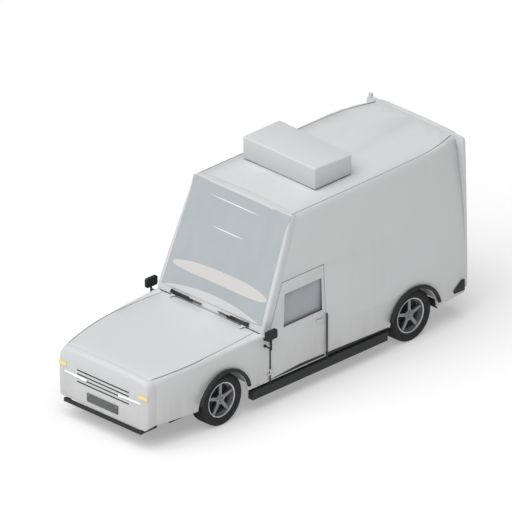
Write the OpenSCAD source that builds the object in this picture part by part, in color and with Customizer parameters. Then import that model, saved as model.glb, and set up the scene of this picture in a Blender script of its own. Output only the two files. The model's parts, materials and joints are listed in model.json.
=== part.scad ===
// Mail delivery truck: a bonneted van with a tall body, cab doors, cargo doors and a roof cooling unit.
// X is the width (the truck's left is +X), Y the length (the front is -Y), Z is up, and Z = 0 is the ground.

/* [Body] */
// Wall thickness of the pressed body panels
wall = 20; // [18:1:24]
// Gap between neighbouring body panels
panel_gap = 3; // [2:0.5:5]
// Half width of the body at its widest
body_half_w = 950; // [945:1:955]
// Height of the roof over the ground
roof_z = 2475; // [2465:5:2485]
// Height of the windshield's foot
cowl_z = 1033; // [1030:1:1036]

/* [Wheels] */
// Radius of a tyre
tyre_r = 348; // [340:1:350]
// Width of a tyre
tyre_w = 250; // [235:5:255]
// Position of the front axle along the truck
front_axle_y = -1575; // [-1580:1:-1570]
// Position of the rear axle along the truck
rear_axle_y = 1765; // [1760:1:1770]

/* [Fits] */
// Radial running clearance of pins and spindles
run = 0.05; // [0.02:0.01:0.09]

/* [Hidden] */
$fn = 48;
e = 0.5;                          // small step that keeps two solids of one node apart
nose_y = -2785;                   // front face of the nose panel
rear_y = 2725;                    // rear end of the side and roof panels
portal_y = 2767;                  // rear face of the rear portal
body_foot_z = 345;                // lower edge of the body panels
cowl_y = -907;                    // foot of the windshield
header_y = -311;                  // front edge of the roof
screen_run = header_y - cowl_y;
screen_rise = roof_z - cowl_z;
screen_tilt = atan2(screen_rise, screen_run);
screen_len = norm([screen_run, screen_rise]);
tuck_y = 2060;                    // where the sides start to close in towards the rear
tyre_x = 915;                     // outer face of a tyre
axle_z = tyre_r;
kingpin_x = 765;
steer_arm = 120;                  // length of a steering arm
door_y0 = -775;                   // front edge of a cab door
door_y1 = 196;                    // rear edge of a cab door
door_foot_z = 365;
door_head_z = 1620;
door_hinge = [960, -781];
door_hinge_r = 8;
door_hinges = [480, 880];
window_y = [-515, 160];
window_z = [1005, 1455];
glass_x = [896, 902];
leaf_w = 715;                     // one rear door
leaf_z = [600, 2300];
leaf_hinge = [728, 2778];
arch_r = 415;                     // wheel opening
arch_z = 318;                     // its centre stands this high
arch_ends = [14, 166];            // a moulding's ends, in degrees round the opening
hood_hinge = [-925, 1052];
mirror_post = [1060, -872];
wiper_x = 665;
wiper_s = 62;                     // wiper pivot's distance up the screen's slope
fan_centre_y = 710;
steering_x = -430;
pedal_pivot = [-850, 780];
steering_foot = [-820, 760];
steering_rake = -55;
pedal_xs = [-340, -520];
leaf_hinges = [780, 1450, 2120];
rim_r = 232;                      // bead seat of a rim
shaft_from = [-990, 385];
shaft_to = [1575, 350];
unit_x = 640;                     // half width of the roof unit
unit_shift = -55;                 // it stands off centre, towards the right-hand side
unit_corner = 30;
unit_y = [378, 1035];
rail_path = [[-2690, 400], [-2080, 400], [-1930, 500], [-1270, 500], [-1120, 350], [1180, 350], [1330, 500],
    [2150, 500], [2250, 440], [2700, 440]];
slot_half_w = 458;                // grille slots
slot_zs = [720, 667, 614, 561];
nose_foot_z = 262;                // lower edge of the nose panel
fender_foot_z = 330;              // lower edge of a fender, ahead of its wheel
grab_bar = [964, 214];            // upright bar behind each cab door
bar_standoff = 4;                 // air between its stand-offs and the panel
housing_foot = 448;               // lowest edge of a wheel housing
dash_edge = [[400, -772], [700, -752], [820, -690], [700, -565], [400, -480]];

// ---- shape functions of the outer skin ----
function side_x(z) = z > 750 ? body_half_w - 93 * pow((z - 750) / 1690, 1.6)
                             : body_half_w - 12 * pow((750 - z) / 420, 2);
function tuck(y, z) = y > tuck_y ? (55 + 100 * pow(z / roof_z,
    4)) * pow((y - tuck_y) / (rear_y - tuck_y), 2) : 0;
function screen_y(z) = z < cowl_z ? cowl_y : cowl_y + screen_run * (z - cowl_z) / screen_rise;
function crown(x) = roof_z - 25 * pow(x / 857, 2);
function nose_w(y) = lookup(y, [[-2785, 755], [-2775, 775], [-2755, 787], [-2700, 796], [-2640, 806],
    [-2400, 850], [-2000, 905], [-1600, 935], [-1200, 946], [-777, 950]]);
function nose_top(y) = lookup(y, [[-2785, 925], [-2775, 947], [-2755, 962], [-2700, 978], [-2640, 987],
    [-2400, 1007], [-2000, 1027], [-1500, 1038], [-907, 1042]]);
function shoulder_r(y) = lookup(y, [[-2785, 140], [-2600, 120], [-2000, 85], [-1300, 50], [-907, 30]]);
function hood_half(y) = lookup(y, [[-2785, 690], [-2700, 718], [-2550, 762], [-2300, 812], [-2000, 848],
    [-1700, 853], [-1300, 838], [-907, 802]]);

levels = [345, 450, 600, 750, 1000, 1250, 1500, 1750, 2000, 2200, 2350, 2425];
pillar_steps = [[0, 26], [6, 12], [22, 3], [50, 0]];   // rounding of the front corners: back, inset
rear_steps = [tuck_y, 2250, 2420, 2580, rear_y];

// Right and left points of one body section, closed in by t on every side.
function section(y_of, inset, t, low) = [for (z = levels, s = [-1, 1])
    [s * (side_x(z) - tuck(y_of(z), z) - inset - t), y_of(z),
        z == levels[0] ? low : z - (z == 2425 ? t * 0.6 : 0)]];
function roof_line(y, inset, t) = [for (x = [-835, -560, -280, 0, 280, 560, 835])
    [x * (1 - (tuck(y, roof_z) + inset + t) / 857), y, crown(x) - t]];
function body_points(t, low) = concat(
    [for (p = pillar_steps) each section(function(z) screen_y(z) + p[0] + t * 1.08, p[1], t, low)],
    [for (p = pillar_steps) each roof_line(header_y + p[0] + t * 1.08 - 6, p[1] * 0.5, t)],
    [for (y = rear_steps) each section(function(z) y == rear_y ? y + t : y, 0, t, low)],
    [for (y = rear_steps) each roof_line(y == rear_y ? y + t : y, 0, t)]);

nose_steps = [nose_y, -2775, -2755, -2700, -2600, -2400, -2150, -1800, -1400, -1100, -880];
flank_steps = [[430, 6], [620, 0], [770, 4]];         // how a fender bellies out: height, inset
function nose_section(y, t, low) = let (w = nose_w(y) - t, top = nose_top(y) - t, r = shoulder_r(y))
    concat([for (p = concat([[low, 14]], flank_steps), s = [-1, 1]) [s * (w - p[1]), y + t, p[0]]],
           [for (a = [0 : 22.5 : 90], s = [-1, 1])
                [s * (w - 6 - r + r * cos(a)), y + t, top - 14 - r + r * sin(a)]],
           [for (x = [-0.5, 0, 0.5]) [x * w, y + t, top - 10 * x * x]]);
function nose_points(t, low) = [for (y = nose_steps) each nose_section(y, t, low)];

module hull_of(points) {
    hull() polyhedron(points = points, faces = [[for (i = [0 : len(points) - 1]) i]]);
}

module body_shell() {
    difference() {
        hull_of(body_points(0, body_foot_z));
        hull_of(body_points(wall, body_foot_z - 60));
    }
}

module nose_shell() {
    difference() {
        hull_of(nose_points(0, body_foot_z - 65));
        hull_of(concat(nose_points(wall, body_foot_z - 130),
            [for (p = nose_section(-880, wall, body_foot_z - 130)) p + [0, 60, 0]]));
    }
}

// A shell piece is taken as one closed skin of flat facets.
module skin() {
    resize([0, 0, 0]) children();
}

module mirrored(left) {
    mirror([left ? 0 : 1, 0, 0]) children();
}

module along_x(x0, x1) {
    translate([x0, 0, 0]) rotate([90, 0, 90]) linear_extrude(x1 - x0) children();
}

module along_y(y0, y1) {
    translate([0, y1, 0]) rotate([90, 0, 0]) linear_extrude(y1 - y0) children();
}

module rod_x(p, r, x0, x1) {
    translate([x0, p[0], p[1]]) rotate([0, 90, 0]) cylinder(r = r, h = x1 - x0);
}

module rod_y(p, r, y0, y1) {
    translate([p[0], y1, p[1]]) rotate([90, 0, 0]) cylinder(r = r, h = y1 - y0);
}

module rod_z(p, r, z0, z1) {
    translate([p[0], p[1], z0]) cylinder(r = r, h = z1 - z0);
}

module block(x, y, z) {
    translate([x[0], y[0], z[0]]) cube([x[1] - x[0], y[1] - y[0], z[1] - z[0]]);
}

module on_screen() {
    translate([0, cowl_y, cowl_z]) rotate([screen_tilt, 0, 0]) children();
}

module rounded_rect(x0, y0, x1, y1, r) {
    difference() {
        translate([x0, y0]) square([x1 - x0, y1 - y0]);
        for (c = [[x0, y0, 1, 1], [x1, y0, -1, 1], [x0, y1, 1, -1], [x1, y1, -1, -1]])
            translate([c[0] + c[2] * r, c[1] + c[3] * r])
                difference() {
                    translate([c[2] > 0 ? -r - 1 : 0, c[3] > 0 ? -r - 1 : 0]) square(r + 1);
                    circle(r);
                }
    }
}

// ---- regions that divide the skin into panels ----
module roof_outline(gap) {
    ys = [header_y - 100, tuck_y, 2200, 2350, 2480, 2600, 2680, 2760];
    polygon(concat([for (y = ys) [832 + gap - tuck(min(y, rear_y), roof_z), y]],
        [for (i = [len(ys) - 1 : -1 : 0]) [-832 - gap + tuck(min(ys[i], rear_y), roof_z), ys[i]]]));
}

module hood_outline(gap) {
    ys = [-2700, -2550, -2300, -2000, -1700, -1300, -912];
    polygon(concat([for (y = ys) [hood_half(y) + gap, y == -2700 ? y - gap : y == -912 ? y + gap : y]],
        [for (i = [len(ys) - 1 : -1 : 0]) let (y = ys[i])
            [-hood_half(y) - gap, y == -2700 ? y - gap : y == -912 ? y + gap : y]]));
}

module door_outline(grow) {
    polygon([[door_y0 - grow, door_foot_z - grow], [door_y1 + grow, door_foot_z - grow],
        [door_y1 + grow, door_head_z + grow], [-530 - grow * 0.8, door_head_z + grow],
        [door_y0 - grow, 1045 + grow * 0.4]]);
}

module arch_cut(axle_y) {
    rod_x([axle_y, arch_z], arch_r, 600, 1100);
}

module screen_outline(grow) {
    polygon([[-880 - grow, 172 - grow], [880 + grow, 172 - grow], [824 + grow, 1528 + grow],
        [-824 - grow, 1528 + grow]]);
}

module front_slab(depth) {
    along_x(-1100, 1100) polygon([[cowl_y - 20, cowl_z], [header_y - 20, roof_z + 20], [header_y + depth,
        roof_z + 20],
        [cowl_y + depth, cowl_z]]);
}

// ---- chassis ----
module rail() {
    upper = [for (i = [len(rail_path) - 1 : -1 : 0]) rail_path[i] + [0, 95]];
    along_x(365, 430) polygon(concat(rail_path, upper));
}
module hitch_member() {
    difference() {
        block([-366, 366], [2590, 2600], [445, 530]);
        for (x = [-60, 60], z = [467, 507]) rod_y([x, z], 8, 2580, 2610);
    }
}
module chassis_frame() {
    color([0.1, 0.1, 0.11]) union() {
        mirrored(true) rail();
        mirrored(false) rail();
        for (y = [-2600, -900, 300, 1150])
            block([-366, 366], [y - 35, y + 35], [y == -2600 ? 410 : 422, y == -2600 ? 480 : 444]);
        block([-366, 366], [1865, 1935], [515, 580]);
        hitch_member();
        for (s = [0, 1], y = [-1000, -350, 500, 1180])      // outriggers that carry the running boards
            mirror([s, 0, 0]) block([429, 862], [y - 25, y + 25], [355, 400]);
    }
}

module floor_pan() {
    floor_path = [[-905, 1000], [-885, 1000], [-885, 500], [370, 500], [370, 640], [2720, 640], [2720, 618],
        [392, 618], [392, 478], [-905, 478]];
    color([0.25, 0.26, 0.27]) difference() {
        along_x(-900, 900) polygon(floor_path);
        for (s = [0, 1]) mirror([s, 0, 0]) {
            block([590, 950], [rear_axle_y - 430, rear_axle_y + 490], [600, 700]);
            block([868, 950], [-1000, 2800], [400, 1100]);
            block([828, 950], [2050, 2800], [400, 1100]);
        }
    }
    color([0.25, 0.26, 0.27]) for (x = pedal_xs) {
        for (k = [-1, 1]) block([x + k * 24 - 5, x + k * 24 + 5], [-884.5, pedal_pivot[0] + 12], [768, 792]);
        rod_x(pedal_pivot, 8, x - 24, x + 24);
    }
}

// One wheel box: a half-round shell over the tyre with an inner side wall.
module housing(axle_y, x_in, r, x_out) {
    difference() {
        rod_x([axle_y, arch_z], r + 8, x_in, x_out);
        rod_x([axle_y, arch_z], r, x_in + 8, x_out + 1);
        block([x_in - 1, x_out + 2], [axle_y - 700, axle_y + 700], [-300, housing_foot]);
    }
}
module wheel_housings() {
    color([0.75, 0.76, 0.77]) for (s = [0, 1]) mirror([s, 0, 0]) {
        housing(front_axle_y, 452, 438, 862);
        housing(rear_axle_y, 600, 432, 905);
    }
}

// ---- body panels ----
module side_panel(left) {
    color([0.86, 0.86, 0.86]) mirrored(left) skin() difference() {
        body_shell();
        translate([0, 0, 2390]) linear_extrude(200) roof_outline(panel_gap);
        block([-1100, 600], [-1100, 2900], [0, 2600]);
        block([-1100, 725], [rear_y - 1, 2900], [0, 2600]);
        block([-1100, 1100], [-1100, door_y0 - 12 + panel_gap], [0, cowl_z]);
        front_slab(110 + panel_gap);
        along_x(600, 1100) door_outline(10);
        arch_cut(rear_axle_y);
    }
}

module roof_panel() {
    color([0.86, 0.86, 0.86]) skin() difference() {
        intersection() {
            body_shell();
            translate([0, 0, 2394]) linear_extrude(200) roof_outline(0);
        }
        front_slab(110 + panel_gap);
        block([-260, 260], [fan_centre_y - 200, fan_centre_y + 200], [2300, 2600]);
    }
}

module cab_front_frame() {
    color([0.86, 0.86, 0.86]) skin() difference() {
        intersection() {
            body_shell();
            front_slab(110);
        }
        on_screen() translate([0, 0, -90]) linear_extrude(160) screen_outline(0);
        for (s = [-1, 1]) on_screen() translate([s * wiper_x, wiper_s, -90]) cylinder(r = 9, h = 160);
        along_x(-1100, 1100) door_outline(10);
    }
    color([0.86, 0.86, 0.86]) for (x = [-620, 620]) {
        rod_x(hood_hinge, 3.5, x - 33, x + 33);
        for (k = [-1, 1]) {
            rod_x(hood_hinge, 7, x + (k > 0 ? 15.5 : -33), x + (k > 0 ? 33 : -15.5));
            block([x + (k > 0 ? 15.5 : -33), x + (k > 0 ? 33 : -15.5)], [hood_hinge[0], -900.5], [1049,
                1055]);
        }
    }
}

module rear_portal() {
    outline = [[885, 405], [890, 750], [884, 1250], [874, 1700], [862, 2150], [852, 2420], [838, 2455],
        [815, 2468]];
    color([0.88, 0.88, 0.88]) union() {
        difference() {
            along_y(rear_y + 2, portal_y)
                polygon(concat(outline, [for (i = [len(outline) - 1 : -1 : 0]) [-outline[i][0],
                    outline[i][1]]]));
            block([-722, 722], [2700, 2800], [leaf_z[0] - 4, leaf_z[1] + 4]);
        }
        for (s = [0, 1], z = leaf_hinges) mirror([s, 0, 0]) portal_knuckle(z);
        rain_lip();
        block([-818, -775], [rear_y + 2, portal_y], [2430, 2515]);       // lifting eye's stub
    }
}
module rain_lip() {                              // overhang of the roof above the cargo doors
    half = [for (x = [-800 : 100 : 800]) [x, roof_z - 1 - 25 * pow(x / 857, 2)]];
    intersection() {
        along_y(portal_y - 20, 2800) polygon(concat([[-800, 2420]], half, [[800, 2420]]));
        linear_extrude(2600)
            polygon([[-800, 2700], [-795, 2752], [-620, 2800], [620, 2800], [795, 2752], [800, 2700]]);
    }
}
module portal_knuckle(z) {
    for (k = [-1, 1]) {
        rod_z(leaf_hinge, 10, z + (k > 0 ? 31 : -60), z + (k > 0 ? 60 : -31));
        block([leaf_hinge[0], leaf_hinge[0] + 60], [portal_y - 1, leaf_hinge[1] - 3],
            [z + (k > 0 ? 31 : -60), z + (k > 0 ? 60 : -31)]);
    }
    rod_z(leaf_hinge, 4, z - 40, z + 40);
}

module windshield() {
    color([0.72, 0.75, 0.77]) on_screen() translate([0, 0, -9]) linear_extrude(7) screen_outline(-3);
}

module nose_panel() {
    color([0.84, 0.83, 0.82]) skin() difference() {
        nose_shell();
        block([-1100, 1100], [-2640, 0], [0, 1200]);
        translate([0, 0, 860]) linear_extrude(400) hood_outline(panel_gap);
        for (z = slot_zs) block([-slot_half_w, slot_half_w], [-2900, -2600], [z - 9, z + 9]);
        block([-1100, 1100], [-2900, -2000], [0, nose_foot_z]);
        for (s = [0, 1]) mirror([s, 0, 0]) along_y(-2900, -2600) polygon([[690, nose_foot_z - 60],
            [690, nose_foot_z], [742, 280], [768, 305], [775, fender_foot_z], [900, fender_foot_z],
            [900, nose_foot_z - 60]]);
    }
}

module fender(left) {
    color([0.84, 0.84, 0.84]) mirrored(left) for (z = door_hinges) {
        rod_z(door_hinge, 4, z - 40, z + 40);
        for (k = [-1, 1]) {
            rod_z(door_hinge, door_hinge_r, z + (k > 0 ? 20.5 : -40), z + (k > 0 ? 40 : -20.5));
            block([side_x(z) + e, door_hinge[0]], [-840, door_hinge[1] - 7],
                [z + (k > 0 ? 20.5 : -40), z + (k > 0 ? 40 : -20.5)]);
        }
    }
    color([0.84, 0.84, 0.84]) mirrored(left) skin() difference() {
        union() {
            difference() {
                nose_shell();
                block([-1100, 1100], [-2900, -2640 + panel_gap], [0, 1200]);
                translate([0, 0, 860]) linear_extrude(400) hood_outline(panel_gap);
            }
            intersection() {
                body_shell();
                block([700, 1100], [cowl_y + 22, door_y0 - 12], [0, cowl_z - panel_gap]);
            }
        }
        block([-1100, 640], [-2900, 0], [0, 1200]);
        arch_cut(front_axle_y);
        block([-1100, 1100], [-2900, -1300], [0, fender_foot_z]);
        block([-1100, 1100], [-1300, 0], [0, body_foot_z]);
        block([-1100, 880], [cowl_y - 3, 0], [0, 1200]);
    }
}

module hood() {
    color([0.85, 0.86, 0.87]) {
        skin() intersection() {
            nose_shell();
            translate([0, 0, 860]) linear_extrude(400) hood_outline(0);
        }
        for (x = [-620, 620]) difference() {
            union() {
                rod_x(hood_hinge, 7, x - 15, x + 15);
                block([x - 15, x + 15], [-985, hood_hinge[0]], [1048, 1055]);
            }
            rod_x(hood_hinge, 3.5 + run, x - 20, x + 20);
        }
    }
}

// ---- front trim ----
module grille_slats() {
    color([0.12, 0.12, 0.13]) for (z = slot_zs)
        block([4 - slot_half_w, slot_half_w - 4], [nose_y - 1, nose_y + 35], [z - 7, z + 7]);
}
module headlamps() {
    color([0.95, 0.95, 0.96]) for (s = [0, 1]) mirror([s, 0, 0])
        hull() {
            block([285, 291], [nose_y - 15, nose_y - 1.5], [614, 643]);
            block([664, 668], [nose_y - 12, nose_y - 1.5], [630, 648]);
        }
}
module marker_lamps() {
    color([0.93, 0.82, 0.35]) for (s = [0, 1]) mirror([s, 0, 0])
        translate([0, 0, 704]) linear_extrude(50) polygon([[640, nose_y - 12], [757, nose_y - 12],
            [782, nose_y - 1], [782, nose_y + 10], [778, nose_y + 9], [757, nose_y - 1.5], [640,
                nose_y - 1.5]]);
}
module number_plate() {
    color([0.35, 0.36, 0.37]) difference() {
        block([-272, 272], [nose_y - 12, nose_y - 3], [352, 466]);
        for (x = [-180, 180]) rod_y([x, 440], 4, nose_y - 20, nose_y);
    }
}
module front_valance() {
    color([0.1, 0.1, 0.1]) {
        union() {
            block([-680, 680], [nose_y - 12, nose_y + 15], [211, 260]);
            for (s = [0, 1]) mirror([s, 0, 0]) block([640, 680], [nose_y + 14, -2510], [215, 255]);
        }
        for (s = [0, 1]) mirror([s, 0, 0]) block([610, 690], [-2290, -2010], [205, 250]);   // undertray ends
        for (s = [0, 1]) mirror([s, 0, 0]) block([400, 440], [-2300, -2000], [249, 399]);   // undertray legs
        for (s = [0, 1]) mirror([s, 0, 0]) block([400, 611], [-2290, -2010], [205, 250]);
    }
}
module running_boards() {
    color([0.16, 0.17, 0.18]) for (s = [0, 1]) mirror([s, 0, 0]) {
        difference() {
            union() {
                block([864, 950], [-1080, 1300], [185, 305]);
                for (y = [-1000, -350, 500, 1180]) block([864, 905], [y - 25, y + 25], [304, 352]);
            }
            block([880, 934], [-1060, 1280], [170, 290]);
        }
        rod_z(grab_bar, 10, 305 + e, 950);
        for (z = [400, 930]) rod_x([grab_bar[1], z], 7, side_x(z) + bar_standoff, grab_bar[0]);
        block([930, 974], [grab_bar[1] - 12, grab_bar[1] + 12], [305, 318]);
    }
}
module arch_trim(axle_y) {
    translate([0, axle_y, arch_z]) rotate([90, 0, 90])
        rotate_extrude(angle = arch_ends[1] - arch_ends[0], start = arch_ends[0])
            translate([arch_r + 23, 0]) circle(25);
}
module wheel_arch_trims() {
    color([0.14, 0.15, 0.15]) for (s = [0, 1]) mirror([s, 0, 0]) {
        translate([930 + 26 + 1, 0, 0]) arch_trim(front_axle_y);
        translate([950 + 26, 0, 0]) arch_trim(rear_axle_y);
        block([660, 890], [rear_axle_y + 462, rear_axle_y + 470], [285, 400]);      // mud flap
    }
}
module rear_bumper() {
    color([0.11, 0.12, 0.12]) union() {
        block([-800, 800], [portal_y + e, 2800], [398, 545]);
        for (s = [0, 1]) mirror([s, 0, 0]) hull() {      // pads on the body's rear corners
            block([928, 942], [2490, 2500], [410, 450]);
            block([906, 924], [2640, 2690], [395, 540]);
        }
    }
}
module tail_lamps() {
    color([0.65, 0.08, 0.07]) for (s = [0, 1]) mirror([s, 0, 0])
        block([770, 845], [portal_y + e, 2790], [860, 1180]);
}

// ---- roof unit ----
module roof_unit_base() {
    color([0.4, 0.41, 0.42]) translate([unit_shift, 0, 0]) difference() {
        union() {
            block([-604, 604], [unit_y[0] + 26, unit_y[1] - 26], [roof_z + 1, roof_z + 16]);
            rod_z([0, fan_centre_y], 218, roof_z + 10, roof_z + 120);
            block([-560, -300], [500, 920], [roof_z + 15, roof_z + 190]);     // condenser core
            block([300, 560], [500, 920], [roof_z + 15, roof_z + 150]);       // blower box
        }
        rod_z([0, fan_centre_y], 205, roof_z - 10, roof_z + 140);
    }
}
module cover_slices(t) {
    hull() {
        for (sx = [-1, 1], sy = [0, 1]) {
            y = sy == 0 ? unit_y[0] : unit_y[1];
            k = sy == 0 ? 1 : -1;
            translate([sx * (unit_x - unit_corner), y + k * unit_corner, roof_z + 2 - t])
                cylinder(r = unit_corner - t, h = 60, $fn = 32);
            top = sx < 0 ? 310 : sy == 0 ? 302 : 284;
            translate([sx * (unit_x - 32), y + k * 32, roof_z + top - 28 - t])
                sphere(r = 28 - t * 0.5, $fn = 20);
        }
    }
}
module roof_unit_cover() {
    color([0.85, 0.85, 0.85]) skin() translate([unit_shift, 0, 0]) difference() {
        intersection() {
            cover_slices(0);
            block([-700, 700], [300, 1100], [roof_z + 2, 2785]);
        }
        cover_slices(10);
        for (i = [0 : 6]) block([-400, 400], [1000, 1100], [roof_z + 60 + 26 * i, roof_z + 72 + 26 * i]);
    }
}

// ---- mirrors ----
module mirror_arms() {
    color([0.12, 0.12, 0.13]) for (s = [0, 1]) mirror([s, 0, 0]) {
        rod_z(mirror_post, 8, 855, 1118);
        rod_z(mirror_post, 13, 855, 990);
        rod_x([mirror_post[1], 872], 10, 949, mirror_post[0]);
        rod_x([mirror_post[1], 965], 10, 947, mirror_post[0]);
        for (z = [872, 965]) rod_x([mirror_post[1], z], 22, 948.5, 953);
    }
}
module mirror_head(left) {
    color([0.16, 0.17, 0.17]) mirrored(left) difference() {
        along_y_box(mirror_post[0], mirror_post[1]);
        rod_z(mirror_post, 8 + run, 900, 1119);
        block([mirror_post[0] - 30, mirror_post[0] - 17], [mirror_post[1] - 80, mirror_post[1] + 80],
            [1014, 1120]);
    }
    color([0.7, 0.72, 0.74]) mirrored(left)
        block([mirror_post[0] - 21, mirror_post[0] - 17 - e], [mirror_post[1] - 79, mirror_post[1] + 79],
            [1015, 1119]);
}
module along_y_box(x, y) {
    translate([x - 21, y, 1067]) rotate([0, 90, 0]) linear_extrude(42) rounded_rect(-62, -94, 62, 94, 22);
}

// ---- cab ----
module dashboard() {
    color([0.8, 0.8, 0.8]) union() {
        difference() {
            intersection() {
                translate([0, 0, 1150]) linear_extrude(260) polygon(concat(dash_edge, [for (i = [4 : -1 : 0])
                    [-dash_edge[i][0], dash_edge[i][1]]]));
                along_x(-900, 900) polygon([[-800, 1140], [-800, 1290], [-470, 1400], [-400, 1400],
                    [-400, 1140]]);
            }
            block([-650, 650], [-690, -540], [1140, 1270]);
        }
        block([-820, 820], [-735, -715], [900, 1160]);
        on_column() difference() {                       // steering column tube
            cylinder(r = 25, h = 560);
            translate([0, 0, 100]) cylinder(r = 12 + run, h = 700);
        }
    }
}

module on_column() {
    translate([steering_x, steering_foot[0], steering_foot[1]]) rotate([steering_rake, 0, 0]) children();
}
module steering_wheel() {
    color([0.12, 0.12, 0.12]) on_column() union() {
        translate([0, 0, 120]) cylinder(r = 12, h = 580);
        translate([0, 0, 640]) cylinder(r = 45, h = 45);
        translate([0, 0, 690]) rotate_extrude() translate([190, 0]) circle(15);
        for (a = [90, 210, 330]) rotate(a) translate([30, -14, 672]) cube([155, 28, 10]);
    }
}
module driver_seat() {
    color([0.2, 0.22, 0.25]) {
        block([steering_x - 250, steering_x + 250], [-60, 400], [700, 850]);
        translate([0, 410, 860]) rotate([-12, 0, 0]) block([steering_x - 235, steering_x + 235], [0,
            110], [0, 640]);
    }
    color([0.1, 0.1, 0.1]) block([steering_x - 180, steering_x + 180], [-40, 270], [501, 699.5]);
}
module pedal(x, w) {
    color([0.1, 0.1, 0.1]) difference() {
        union() {
            rod_x(pedal_pivot, 17, x - 17, x + 17);
            translate([0, pedal_pivot[0], pedal_pivot[1]]) rotate([13, 0, 0]) block([x - 6, x + 6], [-8,
                8], [-220, -10]);
            translate([0, -800, 560]) rotate([13, 0, 0]) block([x - w, x + w], [-5, 6], [-35, 35]);
        }
        rod_x(pedal_pivot, 8 + run, x - 30, x + 30);
    }
}
module accelerator_pedal() { pedal(pedal_xs[1], 26); }
module brake_pedal() { pedal(pedal_xs[0], 42); }

// ---- engine and running gear ----
module engine() {
    color([0.35, 0.35, 0.36]) union() {
        block([-230, 230], [-2350, -1740], [480, 760]);
        block([-140, 140], [-2330, -1780], [759, 860]);
        rod_y([0, 600], 150, -1745, -1650);
        block([-110, 110], [-1655, -1240], [470, 640]);
        block([-90, 90], [-1245, -1010], [330, 560]);
        rod_y([0, 385], 60, -1015, -995);
        for (s = [0, 1]) mirror([s, 0, 0]) block([220, 364], [-2100, -2040], [480, 520]);      // mounts
    }
    color([0.2, 0.2, 0.2]) block([-330, 330], [-2560, -2500], [500, 880]);     // radiator
}
module propshaft() {
    run_y = shaft_to[0] - shaft_from[0];
    drop = shaft_from[1] - shaft_to[1];
    color([0.3, 0.3, 0.31]) translate([0, shaft_from[0], shaft_from[1]]) rotate([-90 - atan2(drop,
        run_y), 0, 0]) {
        cylinder(r = 58, h = 14);
        translate([0, 0, 13]) cylinder(r = 30, h = 2450);
        translate([0, 0, 2400]) cylinder(r = 44, h = 60);
        translate([0, 0, 2459]) cylinder(r = 50, h = norm([run_y, drop]) - 2459);
    }
}
module coil_springs() {
    color([0.2, 0.2, 0.22]) for (s = [-1, 1]) difference() {
        rod_z([s * 397, front_axle_y], 48, 374, 499);
        rod_z([s * 397, front_axle_y], 34, 360, 510);
    }
}
module leaf_springs() {
    arc = [for (y = [-380 : 95 : 380]) [rear_axle_y + y, 397 + 73 * pow(y / 380, 2)]];
    color([0.2, 0.2, 0.22]) for (s = [0, 1]) mirror([s, 0, 0])
        along_x(370, 430) polygon(concat(arc, [for (i = [len(arc) - 1 : -1 : 0]) arc[i] + [0,
            i == 4 ? 30 : 22]]));
}
module front_axle_beam() {
    color([0.2, 0.2, 0.21]) difference() {
        union() {
            block([-735, 735], [front_axle_y - 26, front_axle_y + 26], [323, 373]);
            for (s = [-1, 1]) rod_z([s * kingpin_x, front_axle_y], 30, 325, 371);
            for (s = [-1, 1]) block([s * 750 - 18, s * 750 + 18], [front_axle_y - 22, front_axle_y + 22],
                [327, 369]);
        }
        for (s = [-1, 1]) rod_z([s * kingpin_x, front_axle_y], 14 + run, 300, 400);
    }
}
module knuckle(left) {
    color([0.24, 0.24, 0.25]) mirrored(left) union() {
        for (z = [[296, 321], [375, 400]]) {
            rod_z([kingpin_x, front_axle_y], 28, z[0], z[1]);
            block([kingpin_x, kingpin_x + 52], [front_axle_y - 26, front_axle_y + 26], z);
        }
        rod_z([kingpin_x, front_axle_y], 14, 297, 399);
        block([kingpin_x + 36, kingpin_x + 52], [front_axle_y - 26, front_axle_y + 26], [297, 399]);
        rod_x([front_axle_y, axle_z], 25, kingpin_x + 45, 878);
        block([kingpin_x - 12, kingpin_x + 12], [front_axle_y + 10, front_axle_y + steer_arm], [298, 319]);
        rod_z([kingpin_x, front_axle_y + steer_arm], 18, 298, 319);
        rod_z([kingpin_x, front_axle_y + steer_arm], 8, 318, 352);
    }
}
module tie_rod() {
    y = front_axle_y + steer_arm;
    color([0.25, 0.25, 0.26]) difference() {
        union() {
            rod_x([y, 336], 11, -kingpin_x, kingpin_x);
            for (s = [-1, 1]) rod_z([s * kingpin_x, y], 20, 323, 349);
        }
        for (s = [-1, 1]) rod_z([s * kingpin_x, y], 8 + run, 310, 360);
    }
}
module rear_axle_housing() {
    color([0.2, 0.2, 0.21]) union() {
        rod_x([rear_axle_y, axle_z], 45, -800, 800);
        for (s = [-1, 1]) rod_x([rear_axle_y, axle_z], 25, min(s * 799, s * 878), max(s * 799, s * 878));
        translate([0, rear_axle_y, axle_z]) rotate([0, 90, 0]) cylinder(r = 130, h = 220, center = true);
        rod_y([0, shaft_to[1]], 60, shaft_to[0] + 25, rear_axle_y - 30);
    }
}

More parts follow.
